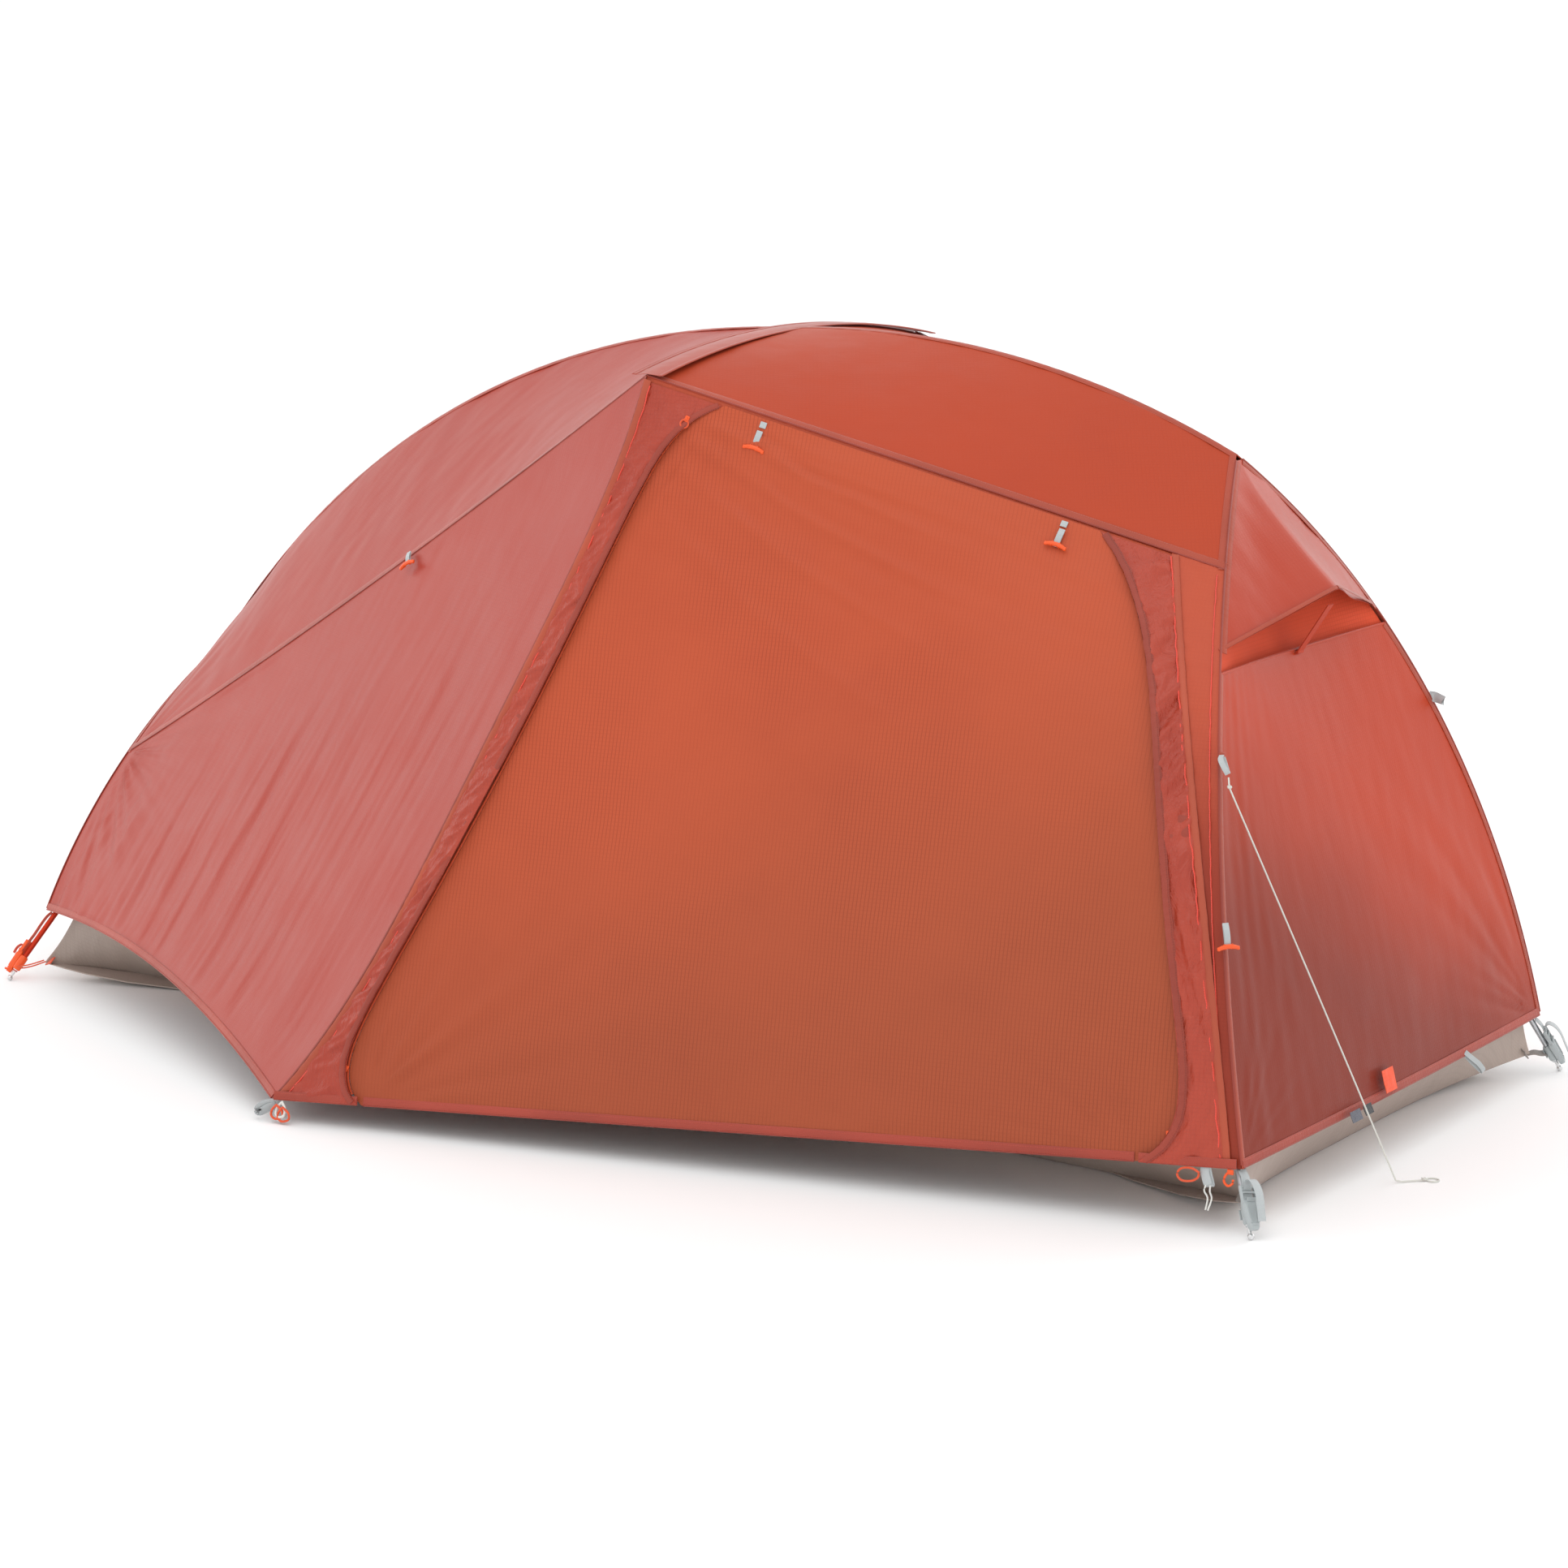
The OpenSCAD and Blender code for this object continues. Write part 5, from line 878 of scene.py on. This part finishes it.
for k, g in (("near", lambda p: np.asarray(p, float)), ("far", lambda p: far(np.asarray(p, float)))):
    a0 = A(1006, -322, 600)
    c = [a0 + A(3, -5, 1), a0 + A(4, -10, -3), a0 + A(9, -14, -9), a0 + A(15, -15, -17), a0 + A(16, -11, -22), a0 + A(12, -7, -18), a0 + A(7, -3, -11), a0 + A(2, 0, -3)]
    if k == "far": c = [a0 + A(-3, -4, -19), a0 + A(5, -7, -20), a0 + A(13, -8, -23), a0 + A(17, -9, -25), a0 + A(16, -11, -26), a0 + A(8, -10, -24), a0 + A(2, -6, -22), a0 + A(-3, -4, -21)]
    ob = strip_loop("tieout_" + k, [g(p) for p in c], g((.1, .1, 1)) if k == "far" else g((.75, .45, .45)), 13 if k == "far" else 7.4, 1.1, M_WEB)
    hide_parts("tieout_loops")
    jo = [rbox((9, 2.2, 12), .9)]
    if k == "near": join_parts("tieout_seam_" + k, jo, frame_mat(g(A(1006, -322, 598)), g((.3, .9, 0)), g((.1, .2, .97))), M_SEAM, "tent")
#==P6==
#==P6==
# ------------------------------------------------------------------ corners
def corner_frame(i):
    p = [TH0, far(TH0), TF0, far(TF0)][i]; a = [AH, far(AH), AF, far(AF)][i]
    return frame_mat(p, (p[0], p[1], 0), a)
UPH, UPF = float(np.linalg.norm(HE - TH0)), float(np.linalg.norm(FE - TF0))
PO = 4.35; SX = PO + 5
def strap(name, ctrl, M, w, th_, mat, body="tent", n=40, node=None):
    """webbing along ctrl (x out, z up the pole) with its width along y"""
    p = spline(ctrl, n); T = unit(np.gradient(p, axis=0)); Y = np.broadcast_to(A(0, 1, 0), p.shape); Wd = unit(Y - T * (T * Y).sum(-1, keepdims=True)); N = np.cross(T, Wd)
    pr = np.asarray(rib_prof(w, th_)); V = p[:, None] + pr[None, :, 0, None] * Wd[:, None] + pr[None, :, 1, None] * N[:, None]
    V = V.reshape(-1, 3) @ M[:3, :3].T + M[:3, 3]
    L = np.concatenate([[0], np.cumsum(np.linalg.norm(np.diff(p, axis=0), axis=1))])
    uv = np.stack([np.repeat(L, 8), np.tile(pr[:, 0], n)], -1) * .001
    F = [[i * 8 + a, i * 8 + (a + 1) % 8, (i + 1) * 8 + (a + 1) % 8, (i + 1) * 8 + a] for i in range(n - 1) for a in range(8)]
    F += [list(range(7, -1, -1)), [(n - 1) * 8 + a for a in range(8)]]
    ob = make_mesh(name, V, F, mat, uv, 40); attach(ob, body)
    if node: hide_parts(node)
    return ob
def taper_box(x0, x1, w0, w1, z0, z1, r=2.0, nz=10):
    """tapered buckle body: rounded section, w0 wide at z0 and w1 at z1"""
    prof = []
    for cx, cy, a0 in ((1, 1, 0), (-1, 1, 90), (-1, -1, 180), (1, -1, 270)):
        for a in (0, 30, 60, 90): prof.append((cx, cy, math.radians(a0 + a)))
    V = []
    for i in range(nz + 1):
        k = i / nz; w = w0 + (w1 - w0) * k ** .8; xx0, xx1 = x0, x1
        if i in (0, nz): w -= 1.6; xx0, xx1 = x0 + .8, x1 - .8
        for cx, cy, a in prof:
            V.append(((xx0 + xx1) / 2 + cx * ((xx1 - xx0) / 2 - r) + r * math.cos(a), cy * (w / 2 - r) + r * math.sin(a), z0 + (z1 - z0) * (k if 0 < i < nz else k)))
    m = len(prof); F = []
    for i in range(nz):
        for a in range(m): b = (a + 1) % m; F.append([i * m + a, i * m + b, (i + 1) * m + b, (i + 1) * m + a])
    F.append(list(range(m - 1, -1, -1))); F.append([nz * m + a for a in range(m)])
    return np.array(V), F
for i in range(4):
    M = corner_frame(i); head = i < 2; up = UPH if head else UPF
    ks = 1.0 if head else .52
    nm = "abcd"[i]; mb = M_BUCK if head else M_ORANGE; mw = M_WEB if head else M_WEBO
    # pole-tip buckle: collar, tapered body with a rib each side and a cross bar
    cang = np.linspace(0, 2 * np.pi, 28, endpoint=False)
    col = []
    for z, r in ((16, PO + 1.2), (18, PO + 2.3), (30, PO + 2.5), (39, PO + 2.5), (41, PO + 1.6)):
        col.append(np.stack([r * np.cos(cang), r * np.sin(cang), np.full(28, z)], -1))
    for z, r in ((41, PO + .1), (16, PO + .1)): col.append(np.stack([r * np.cos(cang), r * np.sin(cang), np.full(28, z)], -1))
    V = np.concatenate(col); F = []
    for a_ in range(7):
        b_ = (a_ + 1) % 7
        for q in range(28): F.append([a_ * 28 + q, a_ * 28 + (q + 1) % 28, b_ * 28 + (q + 1) % 28, b_ * 28 + q])
    parts = [(V, F), taper_box(PO + .4, PO + 9.2, 13 * ks, 26 * ks, 6, 46), rbox((3.2, 28 * ks, 4.6), 1.2, at(PO + 7.2, 0, 44)), rbox((2.6, 3.4 * ks, 26), 1.0, at(PO + 9.0, -8 * ks, 28, rx=8 * ks)), rbox((2.6, 3.4 * ks, 26), 1.0, at(PO + 9.0, 8 * ks, 28, rx=-8 * ks)), rbox((2.2, 10 * ks, 3), .9, at(PO + 9.2, 0, 13))]
    join_parts("tip_buckle_" + nm, parts, M, mb, "tent", nodes=["tip_buckles"])
    # the pole's last length and its tip
    zt = np.linspace(13, up + 1.5, 14)
    join_parts("pole_end_" + nm, [tube_part(np.stack([zt * 0, zt * 0, zt], -1), PO, 28, ref=(1, .2, 0))], M, M_ALU if head else M_RED, "tent", nodes=["pole_tips"])
    tz = [(-4.6, 1.2), (-4.0, 2.6), (-2.4, 4.1), (0, 4.9), (2.2, 4.2), (3.6, 2.8), (12, 2.5), (13, 3.4), (15, 4.6), (18, 4.6)]
    join_parts("pole_tip_" + nm, [tube_part(np.array([(0, 0, z) for z, _ in tz], float), np.array([r for _, r in tz]), 28, ref=(1, .2, 0))], M, M_TIP, "tent", nodes=["pole_tips"])
    # ladder lock: two side rails and three bars, on its own body
    zz = 55
    parts = [rbox((5.4, 3.2 * ks, 22), 1.2, at(SX + .6, sy * 11.6 * ks, zz)) for sy in (-1, 1)]
    parts += [rbox((3.4, 22 * ks, 3.2), 1.2, at(SX + .4, 0, zz + 9)), rbox((3.0, 22 * ks, 2.8), 1.1, at(SX + 2.6, 0, zz + 1)), rbox((3.2, 22 * ks, 3.0), 1.2, at(SX + .4, 0, zz - 8)), rbox((2.6, 15 * ks, 5.5), 1.0, at(SX + 4.6, 0, zz - 9, ry=24))]
    join_parts("ladder_lock_%s_body" % nm, parts, M, mb, "lock_" + nm, nodes=["ladder_lock_" + nm])
    # main webbing from the fly's corner, through the buckle and back up, then the loose tail
    wv = 1.4 * (1 if head else .7)
    ctrl = [(SX - 3, 0, up - 4), (SX - .5, wv, up - 14), (SX + .6, 0, up * .78), (SX + .4, -wv, up * .62), (SX + .2, 0, 68), (SX + .2, 0, 50), (SX - .2, 0, 38), (SX - .8, 0, 29)]
    strap("fly_strap_" + nm, ctrl, M, 14.6 if head else 8.4, 1.15, mw, n=60, node="fly_straps")
    if head: tail = [(SX + 1.2, 0, 60), (SX + 5.0, 0, 70), (SX + 11.5, 1, 71), (SX + 17.0, 2, 62), (SX + 18.6, 3, 48), (SX + 16.6, 3, 32), (SX + 14.5, 3, 14)]
    else: tail = [(SX + 1.0, 0, 62), (SX + 4.4, 0, 56), (SX + 8.5, 0, 54), (SX + 11.2, 1, 46), (SX + 10.4, 1, 36)]
    strap("strap_tail_" + nm, tail, M, 13.6 if head else 7.6, 1.1, mw, n=36, body="lock_" + nm)
    # webbing on the collar, back to the floor's corner
    fc = [A(1128, -446, 36), A(1128, 446, 36), A(-1105, -352, 32), A(-1105, 352, 32)][i]
    Mi = np.linalg.inv(M); f0 = (Mi @ np.append(fc, 1))[:3]
    if head:
        c = [f0 + A(-6, 0, 0), f0 * .75 + A(-PO - 3, 0, 30) * .25, f0 * .3 + A(-PO - 3, 0, 30) * .7, A(-PO - 2.6, 0, 31)]
        strap("floor_strap_" + nm, c, M, 13, 1.2, M_WEBD, n=24, node="floor_straps")
        join_parts("floor_corner_" + nm, [rbox((22, 20, 1.8), .7, at(0, 0, 0))], frame_mat(fc + (A(-10, 5, 1) if i == 0 else A(-10, -5, 1)), (1, 0, 0), (.5, -.55 if i == 0 else .55, .6)), M_WEBD, "tent")
        # a short band of webbing on the collar, at one side of the pole
        ra = np.linspace(0, 2 * np.pi, 30, endpoint=False)
        strap("collar_band_" + nm, [(-(PO + 3.1), 0, 24), (-(PO + 3.1), 0, 31), (-(PO + 3.0), 0, 37)], M, 12, 1.0, mw, n=8)
    else:
        # two thin cords and a small webbing square at the floor's corner
        for j, dy in enumerate((-4, 4)):
            c = spline([A(PO + 2, dy * .7, 26), A(-2, dy * 1.5, 22), f0 * .5 + A(0, dy * 1.3, 8), f0 + A(2, dy, 0)], 30)
            ob = join_parts("floor_cord_%s%d" % (nm, j), [tube_part(c, 1.1, 8)], M, M_ORCORD, "tent")
            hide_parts("floor_straps")
            wp = (np.c_[c, np.ones(len(c))] @ M.T)[:, :3]
            CORDS.append((ob, wp, .0022))
        join_parts("floor_corner_" + nm, [rbox((17, 15, 1.8), .7)], frame_mat(fc + A(7, 3 if i == 2 else -3, 1), (1, 0, 0), (-.4, -.5 if i == 2 else .5, .75)), M_WEBO, "tent")
        hook = spline([A(PO + 4, -4, 12), A(PO + 9, -5, 8), A(PO + 12, 0, 9), A(PO + 9, 5, 8), A(PO + 4, 4, 12)], 24)
        join_parts("corner_hook_" + nm, [tube_part(hook, 1.5, 10)], M, M_ORANGE, "tent")

# ------------------------------------------------------------------ vestibule corner, hem loops, patch and labels
V0 = A(-274, -770, 30)
ob = strip_loop("stake_tab_loop", [V0 + A(7, 3, -3), V0 + A(-5, -5, -5), V0 + A(-12, -9, -8), V0 + A(-17, -12, -14), V0 + A(-16, -10, -18), V0 + A(-10, -6, -15), V0 + A(-4, -3, -11), V0 + A(5, 3, -8)], (.25, -.3, .9), 14, 1.3, M_WEB)
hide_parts("stake_tab")
def ring_cord(name, ctrl, r, mat, body="tent"):
    c = spline(list(ctrl) + [ctrl[0]], 60)[:-1]
    return join_parts(name, [tube_part(c, r, 10, True)], None, mat, body)
W0 = A(-252, -772, 27)
ob = ring_cord("stake_loop_white", [W0 + A(0, -2, 4), W0 + A(-6, -5, -4), W0 + A(-7, -8, -13), W0 + A(0, -9, -17), W0 + A(8, -8, -13), W0 + A(7, -5, -4)], 2.0, M_WCORD)
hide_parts("stake_loops")
for j, (dx, dz) in enumerate(((-5, -7), (7, -9))):
    o = W0 + A(dx, -7, dz)
    ring_cord("stake_loop_orange%d" % j, [o + A(-2, 0, 7), o + A(-9, -1, -1), o + A(-9, -3, -9), o + A(-1, -3, -13), o + A(9, -1, -9), o + A(8, 0, 0)], 1.7, M_ORCORD)
# pieces by the head corner's hem
H0 = A(1086, -489, 82)
ob = strip_loop("hem_tab_white", [H0 + A(-4, 0, 4), H0 + A(-2, -3, -4), H0 + A(3, -6, -14), H0 + A(6, -6, -19), H0 + A(6, -3, -18), H0 + A(2, -1, -8), H0 + A(-2, 1, 3)], (1, .12, 0), 12, 1.1, M_WEB)
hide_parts("stake_loops")
for j, dx in enumerate((-3, 3)):
    c = spline([H0 + A(5 + dx, -6, -17), H0 + A(4 + dx * 1.4, -8, -26), H0 + A(7 + dx, -6, -36), H0 + A(4 + dx * .6, -8, -52)], 20)
    ob = join_parts("hem_cord%d" % j, [tube_part(c, 1.15, 8)], None, M_WCORD, "tent"); CORDS.append((ob, c, .0023))
O0 = A(1062, -494, 80)
ring_cord("hem_loop_orange", [O0 + A(16, -3, -1), O0 + A(4, -2, 3), O0 + A(-10, -4, 1), O0 + A(-15, -6, -7), O0 + A(-8, -7, -14), O0 + A(6, -6, -13), O0 + A(14, -4, -8)], 1.6, M_ORCORD)
Q0 = A(1116, -482, 84)
join_parts("hem_hook_orange", [tube_part(spline([Q0, Q0 + A(-5, -4, -6), Q0 + A(-6, -6, -14), Q0 + A(0, -6, -19), Q0 + A(6, -5, -15), Q0 + A(6, -4, -10)], 30), 1.7, 10), rbox((9, 3, 7), 1, at(*(Q0 + A(1, -2, -1))))], None, M_ORANGE, "tent")
R0 = A(1137, 200, 88)
ob = strip_loop("hem_loop_mid", [R0 + A(-2, 0, 5), R0 + A(5, 4, -2), R0 + A(14, 12, -12), R0 + A(19, 18, -22), R0 + A(17, 20, -25), R0 + A(10, 12, -16), R0 + A(2, 5, -5), R0 + A(-3, 1, 2)], (.3, .8, .5), 8, 1.1, M_WEB)
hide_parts("stake_loops")
MP = frame_mat((1139.5, -60, 112), (0, 1, 0), (.962, 0, .272))
hx = np.linspace(-16, 16, 14); hy = np.linspace(-15, 15, 13)
def plate(name, M, x0, x1, y0, y1, t, mat, node, amp=.6, seed=0, curl=0.0):
    nx, ny = 16, 12
    X, Y = np.meshgrid(np.linspace(x0, x1, nx + 1), np.linspace(y0, y1, ny + 1), indexing="ij")
    Z = t + amp * pn(X / 11, Y / 9, seed) + curl * ((Y - y1) / (y1 - y0)) ** 2
    P = np.stack([X, Y, Z], -1).reshape(-1, 3); Q = P - A(0, 0, .7)
    n = len(P); I = np.arange(n).reshape(nx + 1, ny + 1)
    q = np.stack([I[:-1, :-1], I[1:, :-1], I[1:, 1:], I[:-1, 1:]], -1).reshape(-1, 4)
    ring = np.concatenate([I[:-1, 0], I[-1, :-1], I[:0:-1, -1], I[0, :0:-1]]); nxr = np.roll(ring, -1)
    F = np.concatenate([q, (q + n)[:, ::-1], np.stack([ring, ring + n, nxr + n, nxr], -1)]).tolist()
    return join_parts(name, [(np.concatenate([P, Q]), F)], M, mat, "tent", nodes=[node])
plate("hem_patch_orange", MP, -17, 17, -15, 17, 1.6, M_PATCH, "hem_patch", .5, 3)
ML1, ML2 = frame_mat((1146, -176, 92), (0, 1, 0), (.962, 0, .272)), frame_mat((1146, -140, 92), (0, 1, 0), (.962, 0, .272))
plate("hem_label_grey", ML1, -16, 14, -9, 6, 1.4, M_LABEL1, "hem_labels", .4, 5, 2.0)
plate("hem_label_black", ML2, -12, 12, -8, 6, 1.5, M_LABEL2, "hem_labels", .4, 6, 2.0)
for ob, pts, dia in CORDS:
    pts = np.asarray(pts, float)

#==STAGE==
# ------------------------------------------------------------------ stage: floor, world and lights
def stage_all():
    me = bpy.data.meshes.new("stage_floor")
    s = 60.0
    me.from_pydata([(-s, -s, 0), (s, -s, 0), (s, s, 0), (-s, s, 0)], [], [(0, 1, 2, 3)])
    ob = bpy.data.objects.new("stage_floor", me); bpy.context.collection.objects.link(ob)
    m = bpy.data.materials.new("stage_floor"); m.use_nodes = True
    t = m.node_tree; b = t.nodes["Principled BSDF"]; b.inputs["Roughness"].default_value = .85
    tc = t.nodes.new("ShaderNodeTexCoord"); nz = t.nodes.new("ShaderNodeTexNoise"); nz.inputs["Scale"].default_value = .6
    rp = t.nodes.new("ShaderNodeMapRange"); rp.inputs[3].default_value = .95; rp.inputs[4].default_value = .98
    cb = t.nodes.new("ShaderNodeCombineColor")
    t.links.new(tc.outputs["Object"], nz.inputs["Vector"]); t.links.new(nz.outputs[0], rp.inputs[0])
    for i in range(3): t.links.new(rp.outputs[0], cb.inputs[i])
    t.links.new(cb.outputs[0], b.inputs["Base Color"])
    me.materials.append(m)
    w = bpy.data.worlds.new("world"); bpy.context.scene.world = w; w.use_nodes = True
    w.node_tree.nodes["Background"].inputs[0].default_value = (1, 1, 1, 1)
    w.node_tree.nodes["Background"].inputs[1].default_value = WORLD
    def area(name, loc, target, size, power, color=(1, 1, 1), size_y=None):
        l = bpy.data.lights.new(name, "AREA"); l.energy = power; l.color = color
        l.shape = "RECTANGLE" if size_y else "SQUARE"; l.size = size
        if size_y: l.size_y = size_y
        o = bpy.data.objects.new(name, l); bpy.context.collection.objects.link(o)
        o.location = loc
        d = Vector(target) - Vector(loc); o.rotation_euler = d.to_track_quat("-Z", "Y").to_euler()
    for L in LIGHTS: area(*L)
    sc = bpy.context.scene
    sc.view_settings.view_transform = "Standard"; sc.view_settings.look = "None"
    sc.view_settings.exposure = 0; sc.view_settings.gamma = 1
WORLD = 1.09
LIGHTS = [
    ("key_top", (1.2, -2.4, 5.2), (0, 0, .4), 3.4, 40),
    ("left_soft", (-6.5, -1.2, 2.4), (-.4, -.2, .5), 3.5, 55),
    ("back_soft", (3.0, 5.5, 3.4), (.6, 0, .5), 3.5, 60),
]
stage_all()
